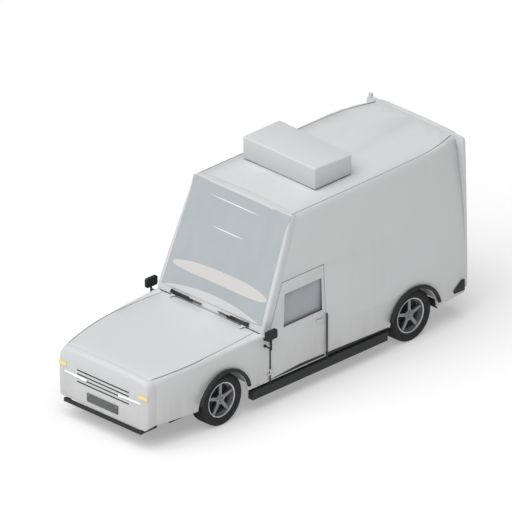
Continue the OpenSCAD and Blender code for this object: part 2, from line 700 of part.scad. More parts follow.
// ---- wheels ----
module at_wheel(axle_y, left) {
    translate([left ? tyre_x - tyre_w / 2 : -tyre_x + tyre_w / 2, axle_y, axle_z])
        rotate([0, left ? 90 : -90, 0]) children();
}
module tyre(axle_y, left) {
    h = tyre_w / 2;
    outer = [[rim_r, h - 32], [rim_r + 15, h - 32], [rim_r + 20, h - 16], [265, h - 5], [285, h], [318,
        h - 2],
        [338, h - 12], [tyre_r, h - 34]];
    inner = [[tyre_r - 16, h - 40], [318, h - 18], [285, h - 14], [266, h - 22], [250, h - 46], [rim_r,
        h - 50]];
    half = concat(outer, [for (i = [len(outer) - 1 : -1 : 0]) [outer[i][0], -outer[i][1]]]);
    back = concat([for (i = [len(inner) - 1 : -1 : 0]) [inner[i][0], -inner[i][1]]], inner);
    color([0.06, 0.06, 0.06]) at_wheel(axle_y, left) rotate_extrude() polygon(concat(half, back));
}
module rim(axle_y, left) {
    h = tyre_w / 2;
    color([0.66, 0.67, 0.68]) at_wheel(axle_y, left) difference() {
        union() {
            rotate_extrude() polygon([[rim_r - 10, -h + 22], [rim_r + 12, -h + 22], [rim_r + 12, -h + 30],
                [rim_r - 0.3, -h + 30], [rim_r - 0.3, h - 30], [rim_r + 12, h - 30], [rim_r + 12, h - 22],
                [rim_r - 10, h - 22]]);
            for (a = [0 : 72 : 288]) rotate(a) {
                translate([60, -34, h - 62]) cube([166, 26, 26]);
                translate([60, 8, h - 62]) cube([166, 26, 26]);
            }
            translate([0, 0, h - 84]) cylinder(r = 42, h = 64);
            translate([0, 0, h - 64]) cylinder(r = 84, h = 30);
            for (a = [36 : 72 : 324]) rotate(a) translate([62, 0, h - 40]) cylinder(r = 11, h = 20, $fn = 6);
        }
        translate([0, 0, h - 110]) cylinder(r = 25 + run, h = 84);
    }
}
module tyre_front_left() { tyre(front_axle_y, true); }
module rim_front_left() { rim(front_axle_y, true); }
module tyre_rear_left() { tyre(rear_axle_y, true); }
module rim_rear_left() { rim(rear_axle_y, true); }
module tyre_front_right() { tyre(front_axle_y, false); }
module rim_front_right() { rim(front_axle_y, false); }
module tyre_rear_right() { tyre(rear_axle_y, false); }
module rim_rear_right() { rim(rear_axle_y, false); }

// ---- cab doors ----
module door(left) {
    color([0.85, 0.85, 0.85]) mirrored(left) {
        skin() difference() {
            intersection() {
                body_shell();
                along_x(600, 1100) door_outline(0);
            }
            along_x(600, 1100) window_outline(0);
        }
        difference() {                                   // inner panel
            along_x(876, 886) door_outline(-32);
            along_x(870, 890) window_outline(0);
        }
        for (y = [35, 161]) block([side_x(905) + e, 964], [y, y + 4], [898, 912]);   // lugs beside the handle
        for (z = door_hinges) {
            difference() {
                union() {
                    rod_z(door_hinge, door_hinge_r, z - 20, z + 20);
                    block([side_x(z) + e, door_hinge[0]], [door_hinge[1] + 7, -720], [z - 20, z + 20]);
                }
                rod_z(door_hinge, 4 + run, z - 30, z + 30);
            }
        }
    }
}
module window_outline(grow) {
    polygon([[window_y[0] - 20 - grow, window_z[0] - grow], [window_y[1] + grow, window_z[0] - grow],
        [window_y[1] + grow, window_z[1] + grow], [window_y[0] + 15 - grow, window_z[1] + grow]]);
}
module door_glass(left) {
    color([0.6, 0.61, 0.63]) mirrored(left) along_x(glass_x[0], glass_x[1]) window_outline(14);
}
module door_handle(left) {
    color([0.8, 0.8, 0.8]) mirrored(left) union() {
        rod_y([960, 905], 5, 40, 160);
        block([957, 963], [40, 160], [870, 905]);
    }
}
module door_left() { door(true); }
module door_right() { door(false); }
module door_glass_left() { door_glass(true); }
module door_glass_right() { door_glass(false); }
module door_handle_left() { door_handle(true); }
module door_handle_right() { door_handle(false); }
module side_panel_left() { side_panel(true); }
module side_panel_right() { side_panel(false); }
module fender_left() { fender(true); }
module fender_right() { fender(false); }
module knuckle_left() { knuckle(true); }
module knuckle_right() { knuckle(false); }
module mirror_left() { mirror_head(true); }
module mirror_right() { mirror_head(false); }

// ---- rear doors ----
module rear_door(left) {
    color([0.85, 0.85, 0.85]) mirrored(left) difference() {
        union() {
            block([2, leaf_w], [2729, 2765], leaf_z);
            for (z = leaf_hinges) {
                rod_z(leaf_hinge, 10, z - 30, z + 30);
                block([leaf_w - 60, leaf_w], [2764, leaf_hinge[1] - 4], [z - 30, z + 30]);
                block([leaf_w - 5, leaf_hinge[0]], [portal_y + e, leaf_hinge[1] - 4], [z - 30, z + 30]);
            }
        }
        for (z = leaf_hinges) rod_z(leaf_hinge, 4 + run, z - 35, z + 35);
        for (z = [[660, 1240], [1300, 1740], [1800, 2240]]) block([70, leaf_w - 70], [2728, 2745], z);
        if (left) rod_y([60, 1180], 10 + run, 2700, 2800);
    }
}
module rear_door_left() { rear_door(true); }
module rear_door_right() { rear_door(false); }
module rear_door_handle() {
    color([0.15, 0.15, 0.15]) union() {
        rod_y([60, 1180], 10, 2735, 2785);
        block([46, 74], [2776, 2790], [1080, 1200]);
    }
}

// ---- wipers ----
module wiper(left) {
    color([0.08, 0.08, 0.08]) mirrored(left) on_screen() translate([wiper_x, wiper_s, 0]) union() {
        translate([0, 0, -12]) cylinder(r = 8, h = 26);
        translate([0, 0, 12]) cylinder(r = 15, h = 12);
        translate([-300, -9, 14]) cube([300, 18, 6]);
        translate([-520, -12, 10]) cube([440, 7, 10]);
        translate([-520, -10.5, 3]) cube([440, 4, 8]);
    }
}
module wiper_left() { wiper(true); }
module wiper_right() { wiper(false); }

chassis_frame();
floor_pan();
wheel_housings();
side_panel_left();
side_panel_right();
roof_panel();
cab_front_frame();
rear_portal();
windshield();
nose_panel();
fender_left();
fender_right();
grille_slats();
headlamps();
marker_lamps();
number_plate();
front_valance();
running_boards();
wheel_arch_trims();
rear_bumper();
tail_lamps();
roof_unit_base();
roof_unit_cover();
mirror_arms();
dashboard();
engine();
coil_springs();
leaf_springs();
front_axle_beam();
rear_axle_housing();
knuckle_left();
knuckle_right();
tie_rod();
tyre_front_left();
tyre_front_right();
tyre_rear_left();
tyre_rear_right();
rim_front_left();
rim_front_right();
rim_rear_left();
rim_rear_right();
propshaft();
door_left();
door_right();
door_glass_left();
door_glass_right();
door_handle_left();
door_handle_right();
rear_door_left();
rear_door_right();
rear_door_handle();
hood();
wiper_left();
wiper_right();
mirror_left();
mirror_right();
steering_wheel();
driver_seat();
accelerator_pedal();
brake_pedal();
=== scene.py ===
"""Mail delivery truck: skins, glass, wheels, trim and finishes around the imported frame.

Laid out as an add-on with one operator for each piece or group of like pieces, and run as a script."""

import json
import math

import bmesh
import bpy
import numpy as np
from mathutils import Matrix, Vector


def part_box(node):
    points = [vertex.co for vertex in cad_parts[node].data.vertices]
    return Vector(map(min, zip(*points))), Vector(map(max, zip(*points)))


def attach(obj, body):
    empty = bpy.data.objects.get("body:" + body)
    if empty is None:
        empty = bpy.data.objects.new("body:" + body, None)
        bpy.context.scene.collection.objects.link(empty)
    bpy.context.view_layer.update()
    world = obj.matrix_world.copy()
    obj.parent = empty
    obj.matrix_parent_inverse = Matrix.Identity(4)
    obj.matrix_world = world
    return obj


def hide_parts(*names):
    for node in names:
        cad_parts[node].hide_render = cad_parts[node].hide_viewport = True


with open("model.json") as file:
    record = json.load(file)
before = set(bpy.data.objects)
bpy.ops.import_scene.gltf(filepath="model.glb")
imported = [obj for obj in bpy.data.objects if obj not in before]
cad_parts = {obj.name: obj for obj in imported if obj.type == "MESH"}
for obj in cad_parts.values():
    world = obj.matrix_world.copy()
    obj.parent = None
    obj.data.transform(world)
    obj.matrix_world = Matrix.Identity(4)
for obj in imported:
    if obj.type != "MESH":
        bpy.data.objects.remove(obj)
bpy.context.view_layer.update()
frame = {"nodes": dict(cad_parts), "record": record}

bl_info = {
    "name": "Mail Delivery Truck",
    "version": (1, 0, 0),
    "blender": (4, 5, 0),
    "location": "View3D > Sidebar > Truck",
    "description": "Builds the skins, glass, wheels and trim of a bonneted delivery van",
    "category": "Object",
}

SIDES = {"left": 1, "right": -1}


# ---- sizes and colours a user would change ----


class TruckPanels(bpy.types.PropertyGroup):
    edge: bpy.props.FloatProperty(
        name="Edge Round", description="Rounding of a painted panel's edges", default=0.003, unit="LENGTH")
    seam: bpy.props.FloatProperty(
        name="Seam Radius", description="Radius of the filler in the roof and nose seams", default=0.0045,
        unit="LENGTH")


class TruckPaint(bpy.types.PropertyGroup):
    body: bpy.props.FloatVectorProperty(
        name="Body", description="Colour of the body paint", default=(0.617, 0.622, 0.628), size=3,
        subtype="COLOR")
    trim: bpy.props.FloatVectorProperty(
        name="Trim", description="Colour of the black mouldings", default=(0.018, 0.021, 0.022), size=3,
        subtype="COLOR")
    screen: bpy.props.FloatVectorProperty(
        name="Screen Glass", description="Tint of the windshield", default=(0.50, 0.54, 0.56), size=3,
        subtype="COLOR")
    alloy: bpy.props.FloatVectorProperty(
        name="Alloy", description="Colour of the wheel rims", default=(0.25, 0.255, 0.27), size=3,
        subtype="COLOR")
    dust: bpy.props.FloatProperty(
        name="Road Dust", description="How much dust lies low on the body", default=0.35, subtype="FACTOR")


class TruckWheels(bpy.types.PropertyGroup):
    spokes: bpy.props.IntProperty(name="Spokes", description="Spokes on a rim", default=5)
    nuts: bpy.props.IntProperty(name="Wheel Nuts", description="Nuts on a wheel", default=5)
    lugs: bpy.props.IntProperty(name="Tread Lugs", description="Tread lugs round a tyre", default=64)


class TruckStage(bpy.types.PropertyGroup):
    floor: bpy.props.FloatVectorProperty(
        name="Floor", description="Colour of the studio floor", default=(0.60, 0.60, 0.60), size=3,
        subtype="COLOR")
    azimuth: bpy.props.FloatProperty(
        name="Azimuth", description="Where the camera stands round the truck", default=math.radians(45),
        subtype="ANGLE")
    elevation: bpy.props.FloatProperty(
        name="Elevation", description="Height angle of the camera", default=math.radians(26.5),
        subtype="ANGLE")
    width: bpy.props.FloatProperty(
        name="View Width", description="Width of the camera's view", default=6.4, unit="LENGTH")
    sky: bpy.props.FloatProperty(name="Sky", description="Strength of the light from all round", default=0.31)
    sun: bpy.props.FloatProperty(name="Sun", description="Strength of the broad overhead light", default=0.90)
    spread: bpy.props.FloatProperty(
        name="Sun Spread", description="Width of the overhead light as seen from the truck",
        default=math.radians(70), subtype="ANGLE")


# ---- outer form of the truck, in metres ----


def smooth_curve(*table):
    """A smooth function through (place, value) pairs."""
    places, values = np.array(table, float).T
    slopes = np.gradient(values, places)

    def value(place):
        place = np.clip(place, places[0], places[-1])
        i = np.clip(np.searchsorted(places, place, side="right") - 1, 0, len(places) - 2)
        step = places[i + 1] - places[i]
        t = (place - places[i]) / step
        rise = t * t * (3 - 2 * t)
        return (values[i] * (1 - rise) + values[i + 1] * rise
                + step * t * (1 - t) * ((1 - t) * slopes[i] - t * slopes[i + 1]))

    return value


def between(low, high, value):
    """0 below low, 1 above high, and a smooth rise between them."""
    t = np.clip((value - low) / (high - low), 0, 1)
    return t * t * (3 - 2 * t)


HALF_WIDTH = 0.95
ROOF_Z = 2.475
COWL = (-0.907, 1.033)                    # foot of the windshield: along, up
HEADER_Y = -0.311                         # where the windshield meets the roof
SCREEN_RUN = HEADER_Y - COWL[0]
SCREEN_RISE = ROOF_Z - COWL[1]
SCREEN_LENGTH = math.hypot(SCREEN_RUN, SCREEN_RISE)
SCREEN_OUT = Vector((0, -SCREEN_RISE, SCREEN_RUN)) / SCREEN_LENGTH
NOSE_Y = -2.785
NOSE_REAR = -2.637                        # seam between nose panel and fenders
CROWN = 0.025                             # the roof's middle stands this much above its edges
NOSE_CROWN = 0.014
WHEELS = {"front": -1.575, "rear": 1.765}
AXLE_Z = 0.348
TYRE_X = 0.915                            # outer face of a tyre
TYRE_WIDTH = 0.25
SLOT_HALF, SLOTS = 0.458, (0.720, 0.667, 0.614, 0.561)

nose_width = smooth_curve((-2.785, 0.755), (-2.775, 0.775), (-2.755, 0.787), (-2.70, 0.796), (-2.64, 0.806),
                          (-2.4, 0.85), (-2.0, 0.905), (-1.6, 0.935), (-1.2, 0.946), (-0.777, 0.95))
nose_top = smooth_curve((-2.785, 0.925), (-2.775, 0.947), (-2.755, 0.962), (-2.70, 0.978), (-2.64, 0.987),
                        (-2.4, 1.007), (-2.0, 1.027), (-1.5, 1.038), (-0.777, 1.042))
shoulder = smooth_curve((-2.785, 0.14), (-2.6, 0.12), (-2.0, 0.085), (-1.3, 0.05), (-0.907, 0.03),
                        (-0.777, 0.03))
hood_half = smooth_curve((-2.785, 0.69), (-2.70, 0.718), (-2.55, 0.762), (-2.3, 0.812), (-2.0, 0.848),
                         (-1.7, 0.853), (-1.3, 0.838), (-0.907, 0.802))


def side_x(z):
    """Half width of the body at a height."""
    above = HALF_WIDTH - 0.093 * (np.maximum(z - 0.75, 0) / 1.69) ** 1.6
    return above - 0.012 * (np.maximum(0.75 - z, 0) / 0.42) ** 2


def crown(x):
    """Height of the roof across its width."""
    return ROOF_Z - CROWN * (x / 0.857) ** 2


def flank(y, z):
    """Half width of the nose below its shoulder."""
    bow = np.where(z < 0.62, 0.12, 0.1) * (z - 0.62) ** 2
    rear = between(-1.3, -0.93, y)
    return (nose_width(y) - bow) * (1 - rear) + side_x(z) * rear


def shoulder_start(y):
    return nose_top(y) - NOSE_CROWN - shoulder(y)


def nose_half(y, z):
    """Half width of the nose at any height."""
    start, r = shoulder_start(y), shoulder(y)
    wide = flank(y, start) - r
    round_part = wide + np.sqrt(np.maximum(r * r - (z - start) ** 2, 0))
    top_part = wide * np.sqrt(np.maximum((nose_top(y) - z) / NOSE_CROWN, 0))
    return np.where(z < start, flank(y, z), np.where(z < start + r, round_part, top_part))


def nose_height(x, y):
    """Height of the hood and shoulders over a place."""
    start, r = shoulder_start(y), shoulder(y)
    wide = flank(y, start) - r
    over = np.maximum(np.abs(x) - wide, 0)
    flat = nose_top(y) - NOSE_CROWN * (np.minimum(np.abs(x), wide) / wide) ** 2
    return np.where(over > 0, start + np.sqrt(np.maximum(r * r - over * over, 0)), flat)


# ---- outlines that cut a panel: negative inside ----


def meet(rounding, *fields):
    """The region inside every field, its corners rounded."""
    grown = [np.maximum(f + rounding, 0) for f in fields]
    inner = np.maximum.reduce(fields)
    return np.where(inner > -rounding, np.sqrt(sum(g * g for g in grown)) - rounding, inner)


def slab(value, low, high):
    return np.maximum(low - value, value - high)


GLASS_TOP = 1.537                         # windshield edge, measured up the screen
GLASS_HALF = (0.884, 0.828)               # its half width at foot and head
PAINTED_LIGHT_OUT = 0.0034                         # how far the thin shapes of painted light on the glass stand out


def glass_field(x, up, grow=0.0):
    """The windshield's outline, with its curved lower edge."""
    half = GLASS_HALF[0] + (GLASS_HALF[1] - GLASS_HALF[0]) * up / GLASS_TOP + 0.026 * between(1.28, 1.55, up)
    foot = 0.21 - 0.117 * (x / 0.88) ** 2
    return meet(0.012, np.abs(x) - half, up - GLASS_TOP, foot - up) - grow


def on_screen(x, up, out):
    """Points on the windshield's plane, standing out from it a little."""
    y = COWL[0] + SCREEN_RUN * up / SCREEN_LENGTH + SCREEN_OUT.y * out
    z = COWL[1] + SCREEN_RISE * up / SCREEN_LENGTH + SCREEN_OUT.z * out
    return np.stack([x, y, z], -1)


def lens_field(x, up):
    """The pale dash top laid on the glass's outer face, so that it shows fully lit, with none of the cab's
    shade and the glass's tint: painted light in a long lens shape.
    """
    t = np.clip((x + 0.80) / 1.66, 0, 1)
    middle = 0.435 - 0.035 * (x / 0.86) ** 2 + 0.02 * t
    half = 0.092 * np.sqrt(np.maximum(1 - np.abs(2 * t - 1) ** 3, 0)) * (0.82 + 0.18 * t)
    return np.where((x < -0.80) | (x > 0.86), 0.05, np.abs(up - middle) - half)


# ---- mesh making ----


def link(name, mesh):
    piece = bpy.data.objects.new(name, mesh)
    bpy.context.scene.collection.objects.link(piece)
    return piece


def mesh_piece(name, vertices, faces):
    mesh = bpy.data.meshes.new(name)
    mesh.from_pydata([tuple(v) for v in vertices], [], faces)
    mesh.update()
    return link(name, mesh)


def trimmed_grid(points, field):
    """Vertices and faces of a grid, kept where the field is negative and cut along its zero line."""
    rows, columns = field.shape
    vertices, faces, known = [], [], {}

    def keep(key, point):
        if key not in known:
            known[key] = len(vertices)
            vertices.append(point)
        return known[key]

    for r in range(rows - 1):
        for c in range(columns - 1):
            ring = [(r, c), (r, c + 1), (r + 1, c + 1), (r + 1, c)]
            inside = [field[q] < 0 for q in ring]
            if not any(inside):
                continue
            face = []
            for k in range(4):
                here, after = ring[k], ring[(k + 1) % 4]
                if inside[k]:
                    face.append(keep(here, points[here]))
                if inside[k] != inside[(k + 1) % 4]:
                    t = field[here] / (field[here] - field[after])
                    point = points[here] * (1 - t) + points[after] * t
                    face.append(keep((min(here, after), max(here, after)), point))
            if len(face) > 2:
                faces.append(face)
    return vertices, faces


def steps(low, high, size):
    """Grid places from low to high, about a size apart."""
    return np.linspace(low, high, max(1, round((high - low) / size)) + 1)


def sheet_panel(name, points, field, outward, weld=0.002):
    """An open sheet over a grid of points, its faces turned outwards."""
    vertices, faces = trimmed_grid(points, field)
    piece = mesh_piece(name, vertices, faces)
    tidy_sheet(piece, outward, weld)
    return piece


def screen_sheet(name, x, up, out, field, weld=0.002):
    """An open sheet along the windshield."""
    return sheet_panel(name, on_screen(x, up, out), field, (0, -1, 0), weld)


def tidy_sheet(piece, outward, weld):
    """Welds a sheet's close corners and turns its faces the same way."""
    bm = bmesh.new()
    bm.from_mesh(piece.data)
    bmesh.ops.remove_doubles(bm, verts=bm.verts, dist=weld)
    bmesh.ops.dissolve_degenerate(bm, edges=bm.edges, dist=1e-5)
    bm.normal_update()
    total = sum((f.normal * f.calc_area() for f in bm.faces), Vector())
    if total.dot(Vector(outward)) < 0:
        bmesh.ops.reverse_faces(bm, faces=bm.faces)
    bm.to_mesh(piece.data)
    bm.free()


def even_normals(piece):
    """Turns the faces of a closed piece outwards."""
    bm = bmesh.new()
    bm.from_mesh(piece.data)
    bmesh.ops.recalc_face_normals(bm, faces=bm.faces)
    bm.to_mesh(piece.data)
    bm.free()
    return piece


def mirror(piece):
    """Turns a piece into its mirror image across the truck's middle."""
    piece.data.transform(Matrix.Scale(-1, 4, (1, 0, 0)))
    piece.data.flip_normals()


def apply_modifiers(piece):
    """Turns a piece and its modifiers into one plain mesh."""
    bpy.context.view_layer.update()
    graph = bpy.context.evaluated_depsgraph_get()
    mesh = bpy.data.meshes.new_from_object(piece.evaluated_get(graph))
    piece.modifiers.clear()
    piece.data = mesh
    return piece


def smooth(piece, angle=35):
    """Shades a piece smoothly, but for edges sharper than the angle."""
    piece.data.polygons.foreach_set("use_smooth", [True] * len(piece.data.polygons))
    piece.data.set_sharp_from_angle(angle=math.radians(angle))
    return piece


def thicken(piece, thickness, edge):
    """Gives a sheet its wall and rounded edges."""
    wall = piece.modifiers.new("wall", "SOLIDIFY")
    wall.thickness = thickness
    wall.offset = -1
    wall.use_even_offset = False
    round_edges(piece, edge)
    return smooth(apply_modifiers(piece))


def round_edges(piece, width):
    bevel = piece.modifiers.new("edges", "BEVEL")
    bevel.width = width
    bevel.segments = 2
    bevel.limit_method = "ANGLE"
    bevel.angle_limit = math.radians(40)
    bevel.use_clamp_overlap = True
    bevel.harden_normals = False


def join(name, pieces):
    """One piece made of several, which are removed."""
    bm = bmesh.new()
    for piece in pieces:
        bm.from_mesh(piece.data)
        bpy.data.objects.remove(piece)
    mesh = bpy.data.meshes.new(name)
    bm.to_mesh(mesh)
    bm.free()
    return link(name, mesh)


def merged_copy(node, name, edge, keep=None):
    """A copy of a CAD node with its loose triangles merged and its edges rounded.

    keep, where given, is asked for each closed part's low and high corner, and says whether it stays."""
    bm = bmesh.new()
    bm.from_mesh(frame["nodes"][node].data)
    bmesh.ops.remove_doubles(bm, verts=bm.verts, dist=2e-5)
    if keep:
        drop_parts(bm, keep)
    bmesh.ops.dissolve_limit(bm, angle_limit=math.radians(0.02), verts=bm.verts, edges=bm.edges)
    mesh = bpy.data.meshes.new(name)
    bm.to_mesh(mesh)
    bm.free()
    piece = link(name, mesh)
    round_edges(piece, edge)
    return smooth(apply_modifiers(piece))


def drop_parts(bm, keep):
    """Deletes the closed parts of a mesh that keep turns down."""
    left = set(bm.verts)
    while left:
        start = left.pop()
        part, front = {start}, [start]
        while front:
            for edge in front.pop().link_edges:
                for v in edge.verts:
                    if v not in part:
                        part.add(v)
                        front.append(v)
        left -= part
        corners = np.array([v.co for v in part])
        if not keep(corners.min(0), corners.max(0)):
            bmesh.ops.delete(bm, geom=list(part), context="VERTS")


def revolve(name, outline, centre, rounds=96, axis="X"):
    """A ring turned about an axle: the outline lists (radius, along) round a closed section."""
    rows = []
    for k in range(rounds):
        angle = 2 * math.pi * k / rounds
        for radius, along in outline:
            a, b = radius * math.cos(angle), radius * math.sin(angle)
            rows.append((along, a, b) if axis == "X" else (a, along, b))
    count = len(outline)
    faces = [(k * count + i, k * count + (i + 1) % count, ((k + 1) % rounds) * count + (i + 1) % count,
              ((k + 1) % rounds) * count + i) for k in range(rounds) for i in range(count)]
    return even_normals(mesh_piece(name, np.array(rows) + np.array(centre), faces))


def rounded_block(name, low, high, edge, segments=3, grip=None):
    """A block with rounded edges, whose corners may be moved by grip."""
    bm = bmesh.new()
    bmesh.ops.create_cube(bm, size=1)
    low, high = Vector(low), Vector(high)
    for v in bm.verts:
        v.co = Vector([low[i] + (v.co[i] + 0.5) * (high[i] - low[i]) for i in range(3)])
        if grip:
            v.co = grip(v.co)
    bmesh.ops.bevel(bm, geom=bm.edges, offset=edge, segments=segments, profile=0.5, affect="EDGES")
    mesh = bpy.data.meshes.new(name)
    bm.to_mesh(mesh)
    bm.free()
    return smooth(link(name, mesh))


def finish_piece(piece, body, slot, material, *nodes):
    """Gives a piece its finish and the body it rides on, and hides the CAD nodes it stands for. The slot is
    not used.
    """
    piece.data.materials.clear()
    piece.data.materials.append(material)
    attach(piece, body)
    if nodes:
        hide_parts(*nodes)
    return piece


BODY_OF = {node: body for body, nodes in frame["record"]["behaviour"]["bodies"].items() for node in nodes}


def dressed(node, slot, material, edge):
    """A softened copy of a CAD node that stands for it."""
    return finish_piece(merged_copy(node, node + "_shape", edge), BODY_OF[node], slot, material, node)


def painted(node, paint="paint"):
    """A painted panel."""
    return dressed(node, "body_paint", finish(paint), bpy.context.scene.truck_panels.edge)


def refinished(node, material):
    """A CAD node that stays as it is, with a better finish."""
    for place in frame["nodes"][node].material_slots:
        place.material = material


# ---- node trees ----


class Wire:
    """An output socket that takes part in Python arithmetic."""

    def __init__(self, tree, socket):
        self.tree, self.socket = tree, socket

    def math(self, operation, first, second=0.0):
        return self.tree.node("ShaderNodeMath", {"operation": operation}, {0: first, 1: second})

    def __add__(self, other):
        return self.math("ADD", self, other)

    def __radd__(self, other):
        return self.math("ADD", other, self)

    def __sub__(self, other):
        return self.math("SUBTRACT", self, other)

    def __rsub__(self, other):
        return self.math("SUBTRACT", other, self)

    def __mul__(self, other):
        return self.math("MULTIPLY", self, other)

    def __rmul__(self, other):
        return self.math("MULTIPLY", other, self)

    def __truediv__(self, other):
        return self.math("DIVIDE", self, other)

    def wave(self):
        return self.math("SINE", self)


class Tree:
    """A node tree whose nodes all come from one method."""

    def __init__(self, tree):
        self.tree = tree

    def node(self, kind, settings=None, inputs=None, output=0):
        node = self.tree.nodes.new(kind)
        for name, value in (settings or {}).items():
            setattr(node, name, value)
        for name, value in (inputs or {}).items():
            self.feed(node.inputs[name], value)
        return Wire(self, node.outputs[output])

    def feed(self, socket, value):
        if isinstance(value, Wire):
            self.tree.links.new(value.socket, socket)
        else:
            socket.default_value = value


class Finish(Tree):
    """A material, with the patterns that its surface needs."""

    def __init__(self, name, **fixed):
        self.material = bpy.data.materials.new(name)
        self.material.use_nodes = True
        super().__init__(self.material.node_tree)
        self.shader = self.tree.nodes["Principled BSDF"]
        for key, value in fixed.items():
            self.shader.inputs[key.replace("_", " ")].default_value = value
        self.place = self.node("ShaderNodeTexCoord", output="Object")

    def stretched(self, scale):
        return self.node("ShaderNodeMapping", {}, {"Vector": self.place, "Scale": scale})

    def noise(self, scale, detail, place=None):
        return self.node("ShaderNodeTexNoise", {},
                         {"Vector": place or self.place, "Scale": scale, "Detail": detail})

    def cells(self, scale):
        return self.node("ShaderNodeTexVoronoi", {}, {"Vector": self.place, "Scale": scale})

    def along(self, axis):
        return self.node("ShaderNodeSeparateXYZ", {}, {"Vector": self.place}, axis)

    def rise(self, value, low, high):
        """0 where the value is low, 1 where it is high."""
        return self.node("ShaderNodeMapRange", {"interpolation_type": "SMOOTHSTEP"},
                         {"Value": value, "From Min": low, "From Max": high})

    def mix(self, share, first, second):
        shades = [c if isinstance(c, Wire) else (*c, 1) for c in (first, second)]
        return self.node("ShaderNodeMix", {"data_type": "RGBA"}, {0: share, 6: shades[0], 7: shades[1]}, 2)

    def bump(self, height, depth, strength):
        return self.node("ShaderNodeBump", {}, {"Height": height, "Distance": depth, "Strength": strength})

    def set(self, **sockets):
        for key, value in sockets.items():
            self.feed(self.shader.inputs[key.replace("_", " ")], value)
        return self.material


def shade(colour, factor):
    return tuple(c * factor for c in colour)


DUST = (0.36, 0.33, 0.29)


def paint_finish(name, colour, dust, gloss=0.42):
    """Fleet paint: slight colour drift, rain streaks, road dust low down and a fine orange peel."""
    paint = Finish(name, Coat_Weight=0.12, Coat_Roughness=0.25, Specular_IOR_Level=0.35)
    drift = paint.noise(1.6, 3)
    streak = paint.noise(9, 4, paint.stretched((1, 1, 0.12)))
    low = paint.rise(paint.along(2), 0.85, 0.22)
    speckle = paint.noise(55, 3)
    dirt = low * dust * (0.25 + 0.75 * paint.rise(streak, 0.35, 0.75)) * (0.5 + speckle)
    clean = paint.mix(drift, shade(colour, 0.975), shade(colour, 1.02))
    streaked = paint.mix(0.05 * paint.rise(streak, 0.55, 0.8), clean, shade(DUST, 1.1))
    peel = paint.bump(paint.noise(420, 1), 0.0002, 0.25)
    return paint.set(Base_Color=paint.mix(dirt, streaked, DUST), Roughness=gloss + 0.08 * drift + 0.35 * dirt,
                     Normal=peel)


def grained_finish(name, colour, grain=900, rough=0.62, depth=0.0004, dust=0.12):
    """Moulded plastic with a pebbled grain, paler where dust has settled."""
    plastic = Finish(name, Specular_IOR_Level=0.4)
    pebbles = plastic.cells(grain)
    wear = plastic.noise(14, 4)
    low = plastic.rise(plastic.along(2), 0.9, 0.2)
    tone = plastic.mix(wear, shade(colour, 0.82), shade(colour, 1.25))
    return plastic.set(Base_Color=plastic.mix(low * dust * wear, tone, DUST), Roughness=rough + 0.16 * wear,
                       Normal=plastic.bump(pebbles, depth, 0.6))


def rubber_finish(name):
    """Tyre rubber: dull black with a fine grain and patches of dust."""
    rubber = Finish(name, Specular_IOR_Level=0.25)
    patches = rubber.noise(11, 4)
    fine = rubber.noise(240, 2)
    dusty = rubber.rise(patches, 0.35, 0.8) * 0.22
    tone = rubber.mix(fine, (0.018, 0.019, 0.019), (0.030, 0.032, 0.032))
    return rubber.set(Base_Color=rubber.mix(dusty, tone, (0.075, 0.07, 0.064)),
                      Roughness=0.78 + 0.15 * patches, Normal=rubber.bump(fine, 0.0006, 0.5))


def alloy_finish(name, colour, metal=0.75, rough=0.34):
    """Painted alloy with fine flake and patches of brake dust."""
    alloy = Finish(name, Coat_Roughness=0.2)
    flake = alloy.cells(1500)
    dirt = alloy.rise(alloy.noise(22, 4), 0.4, 0.8) * 0.35
    tone = alloy.mix(flake, shade(colour, 0.94), shade(colour, 1.06))
    return alloy.set(Base_Color=alloy.mix(dirt, tone, (0.12, 0.11, 0.10)), Metallic=metal - 0.5 * dirt,
                     Roughness=rough + 0.3 * dirt, Normal=alloy.bump(alloy.noise(300, 2), 0.0003, 0.3))


def glass_finish(name, tint, alpha, milk):
    """Tinted safety glass with a faint film of dirt."""
    glass = Finish(name, IOR=1.5, Specular_IOR_Level=0.5, Coat_Weight=0.0)
    film = glass.noise(5, 4, glass.stretched((1, 1, 0.4)))
    fine = glass.noise(90, 2)
    tone = glass.mix(film, shade(tint, 0.96), shade(tint, 1.05))
    return glass.set(Base_Color=tone, Roughness=0.10 + milk + 0.06 * film, Alpha=alpha + 0.03 * film,
                     Normal=glass.bump(fine, 0.0001, 0.1))


def lens_finish(name, colour, ribs, glow=0.0):
    """A moulded lamp lens with fine flutes across and up."""
    lens = Finish(name, Coat_Weight=0.5, Coat_Roughness=0.05, Emission_Strength=glow)
    flutes = (lens.along(0) * ribs).wave() * (lens.along(2) * ribs).wave()
    film = lens.noise(30, 3)
    tone = lens.mix(film, shade(colour, 0.92), shade(colour, 1.05))
    return lens.set(Base_Color=tone, Roughness=0.16 + 0.08 * film, Emission_Color=tone,
                    Normal=lens.bump(flutes, 0.0006, 0.5))


def metal_finish(name, colour, metal, rough, grit=0.0, scale=160):
    """Bare, cast or painted steel with patches of grime."""
    steel = Finish(name)
    grime = steel.rise(steel.noise(7, 5), 0.4, 0.75)
    grains = steel.noise(scale, 3)
    tone = steel.mix(grains, shade(colour, 0.85), shade(colour, 1.15))
    return steel.set(Base_Color=steel.mix(0.4 * grime, tone, (0.10, 0.088, 0.075)),
                     Metallic=metal - 0.3 * metal * grime, Roughness=rough + 0.18 * grime,
                     Normal=steel.bump(grains, 0.0002 + grit, 0.6))


